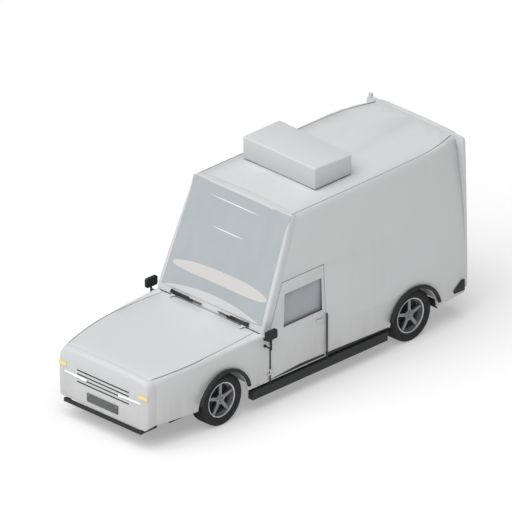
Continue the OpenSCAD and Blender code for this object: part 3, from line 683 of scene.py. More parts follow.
def floor_finish(name):
    """Ribbed load floor, scuffed bright along the ribs."""
    floor = Finish(name)
    scuff = floor.noise(30, 4, floor.stretched((1, 0.15, 1)))
    ribs = floor.rise((floor.along(0) * 157.0).wave(), -0.3, 0.7)
    tone = floor.mix(floor.rise(scuff, 0.35, 0.7), (0.19, 0.195, 0.20), (0.42, 0.43, 0.44))
    return floor.set(Base_Color=tone, Metallic=0.6 + 0.3 * scuff, Roughness=0.55 - 0.2 * scuff,
                     Normal=floor.bump(ribs, 0.002, 0.7))


def woven_finish(name, colour):
    """Seat cloth: a plain weave with pale flecks and a soft nap."""
    cloth = Finish(name, Sheen_Weight=0.35, Sheen_Roughness=0.5, Specular_IOR_Level=0.2)
    warp = (cloth.along(0) * 2100.0).wave()
    weft = ((cloth.along(1) + cloth.along(2)) * 2100.0).wave()
    yarn = (warp * weft) * 0.5 + 0.5
    patches = cloth.noise(9, 4)
    fleck = cloth.noise(600, 1)
    tone = cloth.mix(yarn * 0.6 + fleck * 0.4, shade(colour, 0.7), shade(colour, 1.5))
    return cloth.set(Base_Color=cloth.mix(0.25 * patches, tone, shade(colour, 2.0)),
                     Roughness=0.85 + 0.1 * patches, Normal=cloth.bump(yarn, 0.0007, 0.8))


def make_finishes():
    """Every finish on the truck, by name."""
    look = bpy.context.scene.truck_paint
    body, trim, alloy = tuple(look.body), tuple(look.trim), tuple(look.alloy)
    return {
        "paint": paint_finish("fleet_paint", body, look.dust),
        "nose_paint": paint_finish("nose_paint", shade(body, 0.99), look.dust * 0.6, 0.38),
        "liner": paint_finish("liner_paint", (0.56, 0.56, 0.57), 0.5, 0.6),
        "chassis": metal_finish("chassis_black", (0.028, 0.028, 0.031), 0.2, 0.5, 0.0006),
        "floor": floor_finish("load_floor"),
        "screen": glass_finish("windshield_glass", tuple(look.screen), 0.80, 0.05),
        "side_glass": glass_finish("door_glass", (0.40, 0.42, 0.445), 0.90, 0.03),
        # painted light: the dash top, as bright as the lit paint outside, laid on the windshield
        "painted_lit_dash": paint_finish("dash_top", (0.62, 0.612, 0.605), 0.0, 0.3),
        # painted reflection: the pale, faintly glowing glints on the windshield
        "white_strip": lens_finish("white_strip", (0.82, 0.84, 0.85), 300, 0.1),
        "trim": grained_finish("black_moulding", shade(trim, 0.8), dust=0.05),
        # roof sealer, and painted shade in the hood's side gaps
        "seam": grained_finish("seam_sealer", (0.13, 0.13, 0.13), 700, 0.8, 0.0002, 0.0),
        "soft_trim": grained_finish("black_rubber_seal", shade(trim, 0.7), 500, 0.75),
        "clear_lens": lens_finish("clear_lens", (0.93, 0.94, 0.96), 420, 0.12),
        "amber_lens": lens_finish("amber_lens", (0.86, 0.70, 0.25), 520, 0.05),
        "red_lens": lens_finish("red_lens", (0.42, 0.012, 0.012), 520),
        "plate": metal_finish("blank_plate", (0.105, 0.108, 0.112), 0.1, 0.45, 0.0, 300),
        "cab_plastic": grained_finish("dash_plastic", (0.66, 0.65, 0.645), 700, 0.55, 0.0005, 0.0),
        "brake": metal_finish("brake_drum", (0.014, 0.014, 0.015), 0.1, 0.8, 0.0004, 120),
        "iron": metal_finish("cast_iron", (0.16, 0.155, 0.15), 0.75, 0.55, 0.0012, 260),
        "tyre": rubber_finish("tyre_rubber"),
        "alloy": alloy_finish("rim_alloy", alloy),
        "bright_alloy": alloy_finish("rim_lip", shade(alloy, 2.1), 0.7, 0.28),
        "grip": grained_finish("wheel_grip", (0.02, 0.02, 0.021), 1200, 0.5, 0.0004, 0.0),
        "fabric": woven_finish("seat_cloth", (0.045, 0.052, 0.068)),
        "pedal": grained_finish("pedal_rubber", (0.018, 0.018, 0.018), 400, 0.8, 0.0012),
        "wiper": metal_finish("wiper_black", (0.016, 0.016, 0.017), 0.1, 0.45),
        "chrome": metal_finish("bright_steel", (0.62, 0.63, 0.65), 1.0, 0.18),
    }


def finish(name):
    """One of the finishes, made the first time that any is asked for."""
    if not FINISHES:
        FINISHES.update(make_finishes())
    return FINISHES[name]


FINISHES = {}


# ---- repeated and swept parts ----


class Growth(Tree):
    """A geometry node tree with named inputs, run once on a seed mesh."""

    def __init__(self, name, **inputs):
        super().__init__(bpy.data.node_groups.new(name, "GeometryNodeTree"))
        self.values = inputs
        side = self.tree.interface
        side.new_socket("Geometry", in_out="INPUT", socket_type="NodeSocketGeometry")
        side.new_socket("Geometry", in_out="OUTPUT", socket_type="NodeSocketGeometry")
        self.keys = {}
        for key, value in inputs.items():
            kind = "Int" if isinstance(value, int) else "Vector" if isinstance(value, tuple) else "Float"
            made = side.new_socket(key, in_out="INPUT", socket_type="NodeSocket" + kind)
            self.keys[key] = made.identifier
        self.entry = self.tree.nodes.new("NodeGroupInput")
        self.seed = Wire(self, self.entry.outputs[0])

    def given(self, key):
        return Wire(self, self.entry.outputs[key])

    def grow(self, seed, shape, material):
        """Ends the tree, runs it on the seed mesh and leaves a plain mesh in its place."""
        plain = self.node("GeometryNodeRealizeInstances", {}, {0: shape})
        dressed_shape = self.node("GeometryNodeSetMaterial", {}, {"Geometry": plain, "Material": material})
        leave = self.tree.nodes.new("NodeGroupOutput")
        self.tree.links.new(dressed_shape.socket, leave.inputs[0])
        modifier = seed.modifiers.new("growth", "NODES")
        modifier.node_group = self.tree
        for key, value in self.values.items():
            modifier[self.keys[key]] = value
        apply_modifiers(seed)
        bpy.data.node_groups.remove(self.tree)
        return smooth(seed, 40)


def ring_of(seed, centre, count, material):
    """The seed shape repeated evenly round an axle."""
    growth = Growth("ring", Count=count, Centre=tuple(centre))
    points = growth.node("GeometryNodeMeshLine", {}, {"Count": growth.given("Count"), "Offset": (0, 0, 0)})
    copies = growth.node("GeometryNodeInstanceOnPoints", {}, {"Points": points, "Instance": growth.seed})
    number = growth.node("GeometryNodeInputIndex")
    turn = number * (2 * math.pi) / growth.given("Count")
    turned = growth.node("FunctionNodeAxisAngleToRotation", {}, {"Axis": (1, 0, 0), "Angle": turn})
    spun = growth.node("GeometryNodeRotateInstances", {}, {"Instances": copies, "Rotation": turned,
                                                           "Pivot Point": growth.given("Centre"),
                                                           "Local Space": False})
    return growth.grow(seed, spun, material)


def row_of(seed, count, step, material):
    """The seed shape repeated along a straight line."""
    growth = Growth("row", Count=count, Step=tuple(step))
    points = growth.node("GeometryNodeMeshLine", {}, {"Count": growth.given("Count"),
                                                      "Offset": growth.given("Step")})
    copies = growth.node("GeometryNodeInstanceOnPoints", {}, {"Points": points, "Instance": growth.seed})
    return growth.grow(seed, copies, material)


def tube_along(name, points, radius, material):
    """A round tube that follows a line of points."""
    mesh = bpy.data.meshes.new(name)
    mesh.from_pydata([tuple(p) for p in points], [(i, i + 1) for i in range(len(points) - 1)], [])
    growth = Growth("tube", Radius=radius, Sides=8)
    path = growth.node("GeometryNodeMeshToCurve", {}, {0: growth.seed})
    ring = growth.node("GeometryNodeCurvePrimitiveCircle", {}, {"Resolution": growth.given("Sides"),
                                                                "Radius": growth.given("Radius")})
    tube = growth.node("GeometryNodeCurveToMesh", {},
                       {"Curve": path, "Profile Curve": ring, "Fill Caps": True})
    return growth.grow(link(name, mesh), tube, material)


# ---- operators ----


class Step(bpy.types.Operator):
    """Base of every building step"""

    bl_options = {"REGISTER", "UNDO"}

    def execute(self, context):
        self.build(context.scene)
        return {"FINISHED"}


class TRUCK_OT_side_panels(Step):
    """Side panels, fenders and nose panel, with the filler in the nose seams"""
    bl_idname = "truck.side_panels"
    bl_label = "Side Panels"

    def build(self, scene):
        for node in ("side_panel_left", "side_panel_right", "fender_left", "fender_right"):
            painted(node)
        dressed("nose_panel", "body_paint", finish("nose_paint"), 0.004)
        radius = scene.truck_panels.seam
        place = NOSE_REAR - 0.0015
        for side, way in SIDES.items():
            path = [(way * (nose_half(place, z) - radius), place, z) for z in np.linspace(0.345, 0.955, 30)]
            filler = tube_along("nose_filler_" + side, path, radius, finish("nose_paint"))
            finish_piece(filler, "chassis", "body_paint", finish("nose_paint"))


class TRUCK_OT_roof(Step):
    """Roof panel, windshield frame and rear portal, with the sealer along the roof's sides"""
    bl_idname = "truck.roof"
    bl_label = "Roof And Frames"

    def build(self, scene):
        for node in ("roof_panel", "cab_front_frame", "rear_portal"):
            painted(node)
        line = [(0.824, -0.27), (0.822, 0.4), (0.816, 1.3), (0.800, 2.0), (0.784, 2.22), (0.735, 2.46),
                (0.665, 2.70)]
        for side, way in SIDES.items():
            path = [(way * x, y, crown(x) - 0.002) for x, y in line]
            seam = tube_along("roof_seam_" + side, path, scene.truck_panels.seam, finish("seam"))
            finish_piece(seam, "chassis", "black_trim", finish("seam"))


class TRUCK_OT_hood(Step):
    """Hood, with dark tubes along its sides that paint the shade in its side gaps"""
    bl_idname = "truck.hood"
    bl_label = "Hood"

    def build(self, scene):
        painted("hood", "nose_paint")
        # painted shade: a dark tube sunk in each side gap of the hood
        places = np.linspace(-2.655, -0.925, 24)
        half = hood_half(places) + 0.0025
        rise = nose_height(half, places) - 0.0012
        for side, way in SIDES.items():
            path = list(zip(way * half, places, rise))
            seam = tube_along("hood_gap_shade_" + side, path, 0.0035, finish("seam"))
            finish_piece(seam, "chassis", "black_trim", finish("seam"))


class TRUCK_OT_windshield(Step):
    """Windshield glass over its painted cowl, with the pale dash lens and two tapered strips, both painted
    light on its face
    """
    bl_idname = "truck.windshield"
    bl_label = "Windshield"

    def build(self, scene):
        x, up = np.meshgrid(steps(-0.89, 0.89, 0.02), steps(0.05, 1.56, 0.015))
        below_glass = np.maximum(-glass_field(x, up, -0.004), slab(up, 0.095, 0.3))
        cowl = screen_sheet("cowl_panel", x, up, 0.0015, np.maximum(below_glass, np.abs(x) - 0.88))
        finish_piece(thicken(cowl, 0.008, 0.002), "chassis", "body_paint", finish("paint"))
        glass = screen_sheet("windshield_sheet", x, up, 0.002, glass_field(x, up))
        finish_piece(thicken(glass, 0.006, 0.0012), "chassis", "screen_glass", finish("screen"), "windshield")
        # painted light: the dash top laid outside the glass, lit as no shaded dash behind it would be
        lens = screen_sheet("painted_lit_dash_lens", x, up, PAINTED_LIGHT_OUT, lens_field(x, up))
        finish_piece(thicken(lens, 0.0012, 0.0004), "chassis", "cab_plastic", finish("painted_lit_dash"))
        # two painted reflections: pale glints drawn as glowing strips on the glass
        painted_glint_strip("screen_upper_glint", 1.384, -0.49, 0.385)
        painted_glint_strip("screen_lower_glint", 1.02, -0.35, 0.23)


def painted_glint_strip(name, place, low, high):
    """A painted reflection: a thin pale strip across the glass, drawn out to a point at both ends."""
    x, up = np.meshgrid(steps(low, high, 0.02), steps(place - 0.02, place + 0.02, 0.0025))
    half = 0.0004 + 0.0062 * (1 - ((2 * x - low - high) / (high - low)) ** 2)
    strip = screen_sheet(name, x, up, PAINTED_LIGHT_OUT, np.abs(up - place) - half, 0.0005)
    finish_piece(thicken(strip, 0.0012, 0.0003), "chassis", "cab_plastic", finish("white_strip"))


class TRUCK_OT_dashboard(Step):
    """Dashboard with its steering column"""
    bl_idname = "truck.dashboard"
    bl_label = "Dashboard"

    def build(self, scene):
        dressed("dashboard", "cab_plastic", finish("cab_plastic"), 0.006)


class TRUCK_OT_doors(Step):
    """Cab doors with their glass, seals and handles"""
    bl_idname = "truck.doors"
    bl_label = "Cab Doors"

    def build(self, scene):
        for side, way in SIDES.items():
            painted("door_" + side)
            dressed("door_glass_" + side, "door_glass", finish("side_glass"), 0.001)
            dressed("door_handle_" + side, "body_paint", finish("paint"), 0.0015)
            low, high = sorted((way * 0.9495, way * 0.9555))
            strip = rounded_block("door_seal_" + side, (low, -0.789, 0.305), (high, -0.769, 0.86), 0.0025, 2)
            finish_piece(strip, "door_" + side, "black_trim", finish("soft_trim"))


class TRUCK_OT_sills(Step):
    """Ribbed step mats on the running boards, and dark rocker strips along the foot of the body"""
    bl_idname = "truck.sills"
    bl_label = "Sills And Step Mats"

    def build(self, scene):
        for side, way in SIDES.items():
            mat = join("step_mat_" + side, [step_ribs(-1.06, -0.80), step_ribs(0.36, 1.28)])
            if way < 0:
                mirror(mat)
            finish_piece(smooth(mat), "chassis", "black_trim", finish("soft_trim"))
            rocker("door_rocker_" + side, "door_" + side, way, 0.366, (-0.755, 0.188),
                   ((-0.76, -0.25, 0.19), (0.367, 0.404, 0.394)))
            rocker("body_rocker_" + side, "chassis", way, 0.346, (0.215, 1.33),
                   ((0.2, 0.6, 1.33), (0.394, 0.382, 0.357)))


def step_ribs(front, rear):
    """Eight rubber ribs side by side on the left running board."""
    rib = rounded_block("rib", (0.872, front, 0.3045), (0.878, rear, 0.3085), 0.001, 1)
    return row_of(rib, 8, (0.0095, 0, 0), finish("soft_trim"))


class TRUCK_OT_rear_doors(Step):
    """Cargo doors and their handle"""
    bl_idname = "truck.rear_doors"
    bl_label = "Cargo Doors"

    def build(self, scene):
        for side in SIDES:
            painted("rear_door_" + side)
        dressed("rear_door_handle", "black_trim", finish("trim"), 0.002)


class TRUCK_OT_roof_unit(Step):
    """Roof cooling unit: its base, a creased lid and the louvres in the lid's rear"""
    bl_idname = "truck.roof_unit"
    bl_label = "Roof Unit"

    def build(self, scene):
        dressed("roof_unit_base", "body_paint", finish("paint"), 0.002)
        low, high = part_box("roof_unit_cover")
        finish_piece(creased_cover("roof_unit_lid", low, high), "chassis", "body_paint", finish("paint"),
                     "roof_unit_cover")
        middle = (low[0] + high[0]) / 2
        blade = rounded_block("blade", (middle - 0.4, high[1] - 0.006, low[2] + 0.058),
                              (middle + 0.4, high[1] + 0.002, low[2] + 0.070), 0.002, 2)
        louvres = row_of(blade, 7, (0, 0, 0.026), finish("trim"))
        louvres.name = "roof_unit_louvres"
        finish_piece(louvres, "chassis", "black_trim", finish("trim"))


def rocker(name, body, way, foot, reach, top):
    """A dark strip along the foot of the body side, its upper edge rising and falling."""
    y, z = np.meshgrid(steps(*reach, 0.02), steps(foot, 0.42, 0.006))
    field = np.maximum(z - np.interp(y, *top), slab(y, *reach)) - 0.0001
    points = np.stack([way * (side_x(z) + 0.0022), y, z], -1)
    strip = sheet_panel(name, points, field, (way, 0, 0), 0.0008)
    finish_piece(thicken(strip, 0.002, 0.0006), body, "black_trim", finish("soft_trim"))


def creased_cover(name, low, high):
    """The roof unit's lid: its top is two flat triangles that meet on a diagonal crease."""
    drops = {(-1, -1): 0.0, (-1, 1): 0.0, (1, -1): 0.008, (1, 1): 0.036}
    bm = bmesh.new()
    bmesh.ops.create_cube(bm, size=2)
    top = {}
    for v in bm.verts:
        corner = (round(v.co.x), round(v.co.y))
        up = v.co.z > 0
        v.co = Vector([low[i] + (v.co[i] + 1) / 2 * (high[i] - low[i]) for i in range(3)])
        if up:
            v.co.z -= drops[corner]
            top[corner] = v
    crease = bmesh.ops.connect_verts(bm, verts=[top[(-1, 1)], top[(1, -1)]])["edges"]
    sides = [edge for edge in bm.edges if edge not in crease]
    bmesh.ops.bevel(bm, geom=sides, offset=0.024, segments=4, profile=0.5, affect="EDGES")
    mesh = bpy.data.meshes.new(name)
    bm.to_mesh(mesh)
    bm.free()
    return smooth(even_normals(link(name, mesh)), 18)


class TRUCK_OT_lamps(Step):
    """Headlamp strips, corner markers and tail lamps"""
    bl_idname = "truck.lamps"
    bl_label = "Lamps"

    def build(self, scene):
        dressed("headlamps", "lamp_clear", finish("clear_lens"), 0.002)
        dressed("marker_lamps", "lamp_amber", finish("amber_lens"), 0.003)
        dressed("tail_lamps", "lamp_red", finish("red_lens"), 0.004)


class TRUCK_OT_front_fittings(Step):
    """Grille slats and their lips, number plate with its screws, and valance strip"""
    bl_idname = "truck.front_fittings"
    bl_label = "Front Fittings"

    def build(self, scene):
        dressed("grille_slats", "black_trim", finish("trim"), 0.001)
        slat = rounded_block("slat", (-SLOT_HALF + 0.002, NOSE_Y - 0.0022, SLOTS[3] - 0.0085),
                             (SLOT_HALF - 0.002, NOSE_Y + 0.004, SLOTS[3] + 0.0085), 0.002, 2)
        slats = row_of(slat, len(SLOTS), (0, 0, SLOTS[0] - SLOTS[1]), finish("trim"))
        slats.name = "slat_lips"
        finish_piece(slats, "chassis", "black_trim", finish("trim"))
        screw = revolve("screw", [(0.0065, 0.0), (0.0065, -0.0012), (0.005, -0.0026), (0.0004, -0.0028),
                                  (0.0004, 0.0)], (-0.24, -2.7965, 0.440), 12, "Y")
        screws = row_of(screw, 2, (0.48, 0, 0), finish("chrome"))
        screws.name = "plate_screws"
        finish_piece(screws, "chassis", "plate_blank", finish("chrome"))
        dressed("number_plate", "plate_blank", finish("plate"), 0.0015)
        dressed("front_valance", "black_trim", finish("trim"), 0.004)


class TRUCK_OT_steps_and_bumper(Step):
    """Running boards with their grab bars, rear bumper and arch mouldings"""
    bl_idname = "truck.steps_and_bumper"
    bl_label = "Running Boards And Bumper"

    def build(self, scene):
        for node in ("running_boards", "rear_bumper", "wheel_arch_trims"):
            dressed(node, "black_trim", finish("trim"), 0.003)


class TRUCK_OT_mirrors(Step):
    """Mirrors and the posts that carry them"""
    bl_idname = "truck.mirrors"
    bl_label = "Mirrors"

    def build(self, scene):
        dressed("mirror_arms", "black_trim", finish("trim"), 0.001)
        for side in SIDES:
            dressed("mirror_" + side, "black_trim", finish("trim"), 0.004)


class TRUCK_OT_wipers(Step):
    """Wiper arms and blades"""
    bl_idname = "truck.wipers"
    bl_label = "Wipers"

    def build(self, scene):
        for side, way in SIDES.items():
            arm = merged_copy("wiper_" + side, "wiper_arm", 0.001)
            cover = rounded_block("wiper_cover", (0.30, 0.022, 0.004), (0.69, 0.052, 0.02), 0.004, 3,
                                  lambda p: Vector((p.x, p.y + 0.006 * (0.69 - p.x), p.z)))
            blade = rounded_block("wiper_blade", (0.16, 0.034, 0.003), (0.62, 0.042, 0.012), 0.002, 2)
            for part in (cover, blade):
                for v in part.data.vertices:
                    v.co = Vector(on_screen(v.co.x, v.co.y, v.co.z))
                if way < 0:
                    mirror(part)
            whole = smooth(join("wiper_%s_shape" % side, [arm, cover, blade]))
            finish_piece(whole, "wiper_" + side, "wiper_black", finish("wiper"), "wiper_" + side)


class TRUCK_OT_tyres(Step):
    """Tyres: moulded sidewall, grooves and tread lugs"""
    bl_idname = "truck.tyres"
    bl_label = "Tyres"

    def build(self, scene):
        for axle in WHEELS:
            for side in SIDES:
                tyre_piece(axle, side, scene.truck_wheels.lugs)


class TRUCK_OT_rims(Step):
    """Rims: barrel, lip, tapered spokes, hub, nuts and the brake disc behind"""
    bl_idname = "truck.rims"
    bl_label = "Rims"

    def build(self, scene):
        for axle in WHEELS:
            for side in SIDES:
                rim_pieces(axle, side, scene.truck_wheels)


class TRUCK_OT_running_gear(Step):
    """Axles, knuckles, tie rod, springs, propshaft and engine"""
    bl_idname = "truck.running_gear"
    bl_label = "Running Gear"

    def build(self, scene):
        for node in ("front_axle_beam", "rear_axle_housing", "knuckle_left", "knuckle_right", "tie_rod",
                     "propshaft"):
            dressed(node, "chassis_steel", finish("chassis"), 0.002)
        dressed("engine", "engine_metal", finish("iron"), 0.004)
        for node in ("coil_springs", "leaf_springs"):
            refinished(node, finish("chassis"))


class TRUCK_OT_chassis(Step):
    """Chassis frame, load floor and wheel housings"""
    bl_idname = "truck.chassis"
    bl_label = "Chassis And Floor"

    def build(self, scene):
        dressed("chassis_frame", "chassis_steel", finish("chassis"), 0.003)
        dressed("floor_pan", "floor_metal", finish("floor"), 0.002)
        dressed("wheel_housings", "liner_paint", finish("liner"), 0.002)


class TRUCK_OT_controls(Step):
    """Steering wheel and pedals"""
    bl_idname = "truck.controls"
    bl_label = "Controls"

    def build(self, scene):
        dressed("steering_wheel", "wheel_grip", finish("grip"), 0.0015)
        for node in ("accelerator_pedal", "brake_pedal"):
            dressed(node, "pedal_rubber", finish("pedal"), 0.0015)


class TRUCK_OT_seat(Step):
    """Driver's seat: two stuffed cushions on a black box"""
    bl_idname = "truck.seat"
    bl_label = "Driver Seat"

    def build(self, scene):
        cushion = padded_block("seat_cushion", (-0.672, -0.052, 0.706), (-0.188, 0.392, 0.838), 0.0)
        back = padded_block("seat_back", (-0.655, 0.418, 0.866), (-0.205, 0.512, 1.488), -12.0)
        for piece in (cushion, back):
            finish_piece(piece, "driver_seat", "seat_fabric", finish("fabric"))
        box = merged_copy("driver_seat", "seat_box", 0.006, keep=lambda low, high: high[2] < 0.71)
        finish_piece(box, "driver_seat", "black_trim", finish("trim"), "driver_seat")


def padded_block(name, low, high, lean):
    """A stuffed cushion: a rounded block, tilted back by lean, and swollen by a cloth simulation."""
    middle = (Vector(low) + Vector(high)) / 2
    piece = rounded_block(name, low, high, 0.022, 3)
    turn = (Matrix.Translation((middle.x, low[1], low[2])) @ Matrix.Rotation(math.radians(lean), 4, "X")
            @ Matrix.Translation((-middle.x, -low[1], -low[2])))
    piece.data.transform(turn)
    remesh = piece.modifiers.new("remesh", "REMESH")
    remesh.mode, remesh.voxel_size = "VOXEL", 0.006
    apply_modifiers(piece)
    swell(piece, 0.024)
    soften = piece.modifiers.new("soften", "CORRECTIVE_SMOOTH")
    soften.iterations, soften.use_only_smooth = 6, True
    return smooth(even_normals(apply_modifiers(piece)), 60)


def swell(piece, cap):
    """Blows the cushion up a little with the cloth solver, and moves no point further than cap."""
    scene = bpy.context.scene
    before = [v.co.copy() for v in piece.data.vertices]
    cloth = piece.modifiers.new("stuffing", "CLOTH")
    settings = cloth.settings
    settings.quality, settings.mass = 5, 0.3
    settings.use_pressure, settings.uniform_pressure_force = True, 4.0
    settings.tension_stiffness = settings.compression_stiffness = 15
    settings.effector_weights.gravity = 0
    cloth.point_cache.frame_start, cloth.point_cache.frame_end = 1, 20
    for number in range(1, 21):
        scene.frame_set(number)
    apply_modifiers(piece)
    scene.frame_set(1)
    for v, start in zip(piece.data.vertices, before):
        moved = v.co - start
        if moved.length > cap:
            v.co = start + moved * (cap / moved.length)


# ---- wheels ----


def wheel_centre(axle, side):
    return Vector((SIDES[side] * (TYRE_X - TYRE_WIDTH / 2), WHEELS[axle], AXLE_Z))


def turned_outline(name, outline, axle, side, rounds=96):
    """A closed ring round an axle, whose along runs outwards from the tyre's middle."""
    return revolve(name, [(r, a * SIDES[side]) for r, a in outline], wheel_centre(axle, side), rounds)


# Sections of the wheel's rings, as (radius, along from the tyre's middle).
TYRE_HALF = [(0.2325, 0.086), (0.2365, 0.0945), (0.240, 0.1045), (0.250, 0.1125), (0.262, 0.118),
             (0.274, 0.1215), (0.288, 0.124), (0.2895, 0.1248), (0.292, 0.1248), (0.2935, 0.124),
             (0.306, 0.1228), (0.318, 0.1195), (0.328, 0.114), (0.3295, 0.1148), (0.332, 0.1138),
             (0.333, 0.1115), (0.338, 0.107), (0.3425, 0.099), (0.3425, 0.072)]
TREAD = [(0.3425, 0.066), (0.334, 0.064), (0.334, 0.056), (0.3465, 0.054), (0.3475, 0.026), (0.334, 0.024),
         (0.334, 0.016), (0.3475, 0.014)]
TYRE_INNER = [(0.331, 0.08), (0.315, 0.104), (0.285, 0.108), (0.262, 0.098), (0.246, 0.076), (0.2325, 0.074)]
BARREL = [(0.2315, -0.094), (0.2345, -0.094), (0.2345, -0.101), (0.224, -0.102), (0.218, -0.085),
          (0.207, -0.02), (0.209, 0.05), (0.2125, 0.078), (0.2155, 0.092), (0.2215, 0.0985), (0.228, 0.1005),
          (0.2345, 0.099), (0.2355, 0.096), (0.2345, 0.0935), (0.2305, 0.0925), (0.2245, 0.085),
          (0.2245, 0.03), (0.2185, 0.0), (0.2245, -0.05)]
WELL = [(0.2065, 0.024), (0.2085, 0.05), (0.2118, 0.076), (0.2112, 0.0762), (0.2078, 0.05), (0.2058, 0.024)]
HUB = [(0.0255, 0.041), (0.055, 0.041), (0.072, 0.05), (0.075, 0.066), (0.07, 0.078), (0.05, 0.084),
       (0.034, 0.086), (0.031, 0.096), (0.026, 0.1005), (0.0012, 0.103), (0.0012, 0.0985), (0.0255, 0.093)]
LIP = [(0.2175, 0.0955), (0.2225, 0.0995), (0.2285, 0.1015), (0.2345, 0.1005), (0.2362, 0.0965),
       (0.2350, 0.0960), (0.2285, 0.1008), (0.2225, 0.0988)]
DISC = [(0.03, 0.012), (0.03, 0.02), (0.12, 0.022), (0.128, 0.016), (0.196, 0.016), (0.2, 0.013),
        (0.2, 0.006), (0.196, 0.003), (0.12, 0.003)]


def tyre_piece(axle, side, lugs):
    """A tyre with grooved tread and a row of lugs on each shoulder."""
    half = TYRE_HALF + TREAD
    outline = (half + [(r, -a) for r, a in reversed(half)] + [(r, -a) for r, a in reversed(TYRE_INNER)]
               + TYRE_INNER)
    name = "tyre_%s_%s" % (axle, side)
    carcass = turned_outline(name + "_carcass", outline, axle, side, 120)
    centre = wheel_centre(axle, side)
    lug_half = 2 * math.pi * 0.345 / lugs * 0.34
    lug_rows = []
    for way in (1, -1):
        lug = rounded_block("lug", centre + Vector((0.068, -lug_half, 0.334)),
                            centre + Vector((0.105, lug_half, 0.3475)), 0.0015, 1,
                            lambda p: shaped_lug(p, centre, way))
        lug_rows.append(ring_of(lug, centre, lugs, finish("tyre")))
    whole = smooth(join(name + "_shape", [carcass, *lug_rows]), 30)
    return finish_piece(whole, "wheel_%s_%s" % (axle, side), "tyre_rubber", finish("tyre"), name)


def shaped_lug(place, centre, way):
    """A shoulder lug on one side of the tread, slanted, its outer end dropped onto the shoulder."""
    out = place - centre
    if out.x > 0.09 and out.z > 0.34:
        out.z = 0.3435
    out.y += (out.x - 0.085) * 0.25
    out.x *= way
    return centre + out


def rim_pieces(axle, side, sizes):
    """Barrel with its bright lip, spokes on a hub, nuts and the dark brake disc behind them."""
    name, body = "rim_%s_%s" % (axle, side), "wheel_%s_%s" % (axle, side)
    centre, out = wheel_centre(axle, side), SIDES[side]
    wheel_ring(name + "_well", WELL, axle, side, "alloy", "bright_alloy")
    spoke = rounded_block("spoke", centre + Vector((0.046, -0.022, 0.048)),
                          centre + Vector((0.078, 0.022, 0.2135)), 0.006, 3,
                          lambda p: shaped_spoke(p, centre, out))
    parts = [turned_outline(name + "_barrel", BARREL, axle, side),
             turned_outline(name + "_hub", HUB, axle, side, 64),
             ring_of(spoke, centre, sizes.spokes, finish("alloy"))]
    finish_piece(smooth(join(name + "_shape", parts)), body, "alloy", finish("alloy"), name)
    wheel_ring(name + "_lip", LIP, axle, side, "alloy", "bright_alloy")
    wheel_ring(name + "_disc", DISC, axle, side, "engine_metal", "brake")
    nut = revolve("nut", [(0.0095, 0.0), (0.0095, 0.011 * out), (0.006, 0.0155 * out), (0.0004, 0.0155 * out),
                          (0.0004, 0.0)], centre + Vector((out * 0.081, 0, 0.0515)), 6)
    nuts = ring_of(nut, centre, sizes.nuts, finish("chrome"))
    nuts.name = name + "_nuts"
    finish_piece(nuts, body, "alloy", finish("chrome"))


def wheel_ring(name, outline, axle, side, slot, look):
    """A plain turned ring that rolls with its wheel."""
    ring = smooth(turned_outline(name, outline, axle, side))
    finish_piece(ring, "wheel_%s_%s" % (axle, side), slot, finish(look))


def shaped_spoke(place, centre, out):
    """A spoke tapers slightly towards the lip and its face dishes out with the radius."""
    local = place - centre
    far = (local.z - 0.048) / 0.174
    local.y *= 1.02 + 0.16 * (1 - far)
    local.x = (local.x + 0.008 * far) * out
    return centre + local


# ---- stage ----


LOOK_AT = (-0.0395, -0.0395, 1.488)


class TRUCK_OT_stage(Step):
    """Floor, soft studio light and camera"""
    bl_idname = "truck.stage"
    bl_label = "Stage"

    def build(self, scene):
        sizes = scene.truck_stage
        floor = mesh_piece("studio_floor", [(-60, -60, -0.0005), (60, -60, -0.0005), (60, 60, -0.0005),
                                            (-60, 60, -0.0005)], [(0, 1, 2, 3)])
        plain = Finish("floor_paper", Specular_IOR_Level=0.1, Emission_Color=(1, 1, 1, 1),
                       Emission_Strength=0.33)
        tone = plain.mix(plain.noise(0.6, 2), shade(tuple(sizes.floor), 0.995), tuple(sizes.floor))
        floor.data.materials.append(plain.set(Base_Color=tone, Roughness=0.9))
        world = bpy.data.worlds.new("studio")
        world.use_nodes = True
        sky = world.node_tree.nodes["Background"].inputs
        sky["Color"].default_value = (1, 1, 1, 1)
        sky["Strength"].default_value = sizes.sky
        scene.world = world
        scene.view_settings.view_transform = "Standard"
        soft_lamp("overhead", (0.0, -0.48, 1.0), sizes.sun, sizes.spread)
        camera = bpy.data.cameras.new("camera")
        camera.type, camera.ortho_scale, camera.clip_end = "ORTHO", sizes.width, 100
        stand = bpy.data.objects.new("camera", camera)
        scene.collection.objects.link(stand)
        back = Vector((math.sin(sizes.azimuth) * math.cos(sizes.elevation),
                       -math.cos(sizes.azimuth) * math.cos(sizes.elevation), math.sin(sizes.elevation)))
        stand.location = Vector(LOOK_AT) + back * 20
        stand.rotation_euler = back.to_track_quat("Z", "Y").to_euler()
        scene.camera = stand


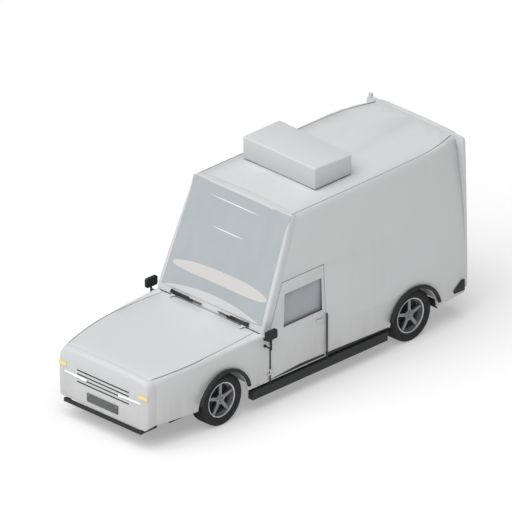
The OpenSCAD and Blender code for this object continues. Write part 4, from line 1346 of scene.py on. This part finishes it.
def soft_lamp(name, from_side, strength, spread):
    """A broad, even light from one direction."""
    lamp = bpy.data.lights.new(name, "SUN")
    lamp.energy, lamp.angle = strength * math.pi, spread
    holder = bpy.data.objects.new(name, lamp)
    holder.rotation_euler = Vector(from_side).to_track_quat("Z", "Y").to_euler()
    bpy.context.scene.collection.objects.link(holder)


# ---- add-on ----


STEPS = (TRUCK_OT_side_panels, TRUCK_OT_roof, TRUCK_OT_hood, TRUCK_OT_windshield, TRUCK_OT_dashboard,
         TRUCK_OT_doors, TRUCK_OT_sills, TRUCK_OT_rear_doors, TRUCK_OT_roof_unit, TRUCK_OT_lamps,
         TRUCK_OT_front_fittings, TRUCK_OT_steps_and_bumper, TRUCK_OT_mirrors, TRUCK_OT_wipers,
         TRUCK_OT_tyres, TRUCK_OT_rims, TRUCK_OT_running_gear, TRUCK_OT_chassis, TRUCK_OT_controls,
         TRUCK_OT_seat, TRUCK_OT_stage)


class TRUCK_PT_sidebar(bpy.types.Panel):
    """Lists the steps that build the truck"""
    bl_idname = "TRUCK_PT_sidebar"
    bl_label = "Mail Delivery Truck"
    bl_space_type = "VIEW_3D"
    bl_region_type = "UI"
    bl_category = "Truck"

    def draw(self, context):
        column = self.layout.column(align=True)
        for step in STEPS:
            column.operator(step.bl_idname, text=step.bl_label)
        for group in SIZES:
            sizes = getattr(context.scene, group)
            for name in sizes.bl_rna.properties.keys():
                if name not in {"rna_type", "name"}:
                    self.layout.prop(sizes, name)


SIZES = {"truck_panels": TruckPanels, "truck_paint": TruckPaint, "truck_wheels": TruckWheels,
         "truck_stage": TruckStage}


def register():
    for group, kind in SIZES.items():
        bpy.utils.register_class(kind)
        setattr(bpy.types.Scene, group, bpy.props.PointerProperty(type=kind))
    for kind in (*STEPS, TRUCK_PT_sidebar):
        bpy.utils.register_class(kind)


def unregister():
    for kind in (TRUCK_PT_sidebar, *reversed(STEPS)):
        bpy.utils.unregister_class(kind)
    for group, kind in SIZES.items():
        delattr(bpy.types.Scene, group)
        bpy.utils.unregister_class(kind)


def main():
    register()
    for step in STEPS:
        group, name = step.bl_idname.split(".")
        if getattr(getattr(bpy.ops, group), name)() != {"FINISHED"}:
            raise RuntimeError(step.bl_label + " was not built")


if __name__ == "__main__":
    main()
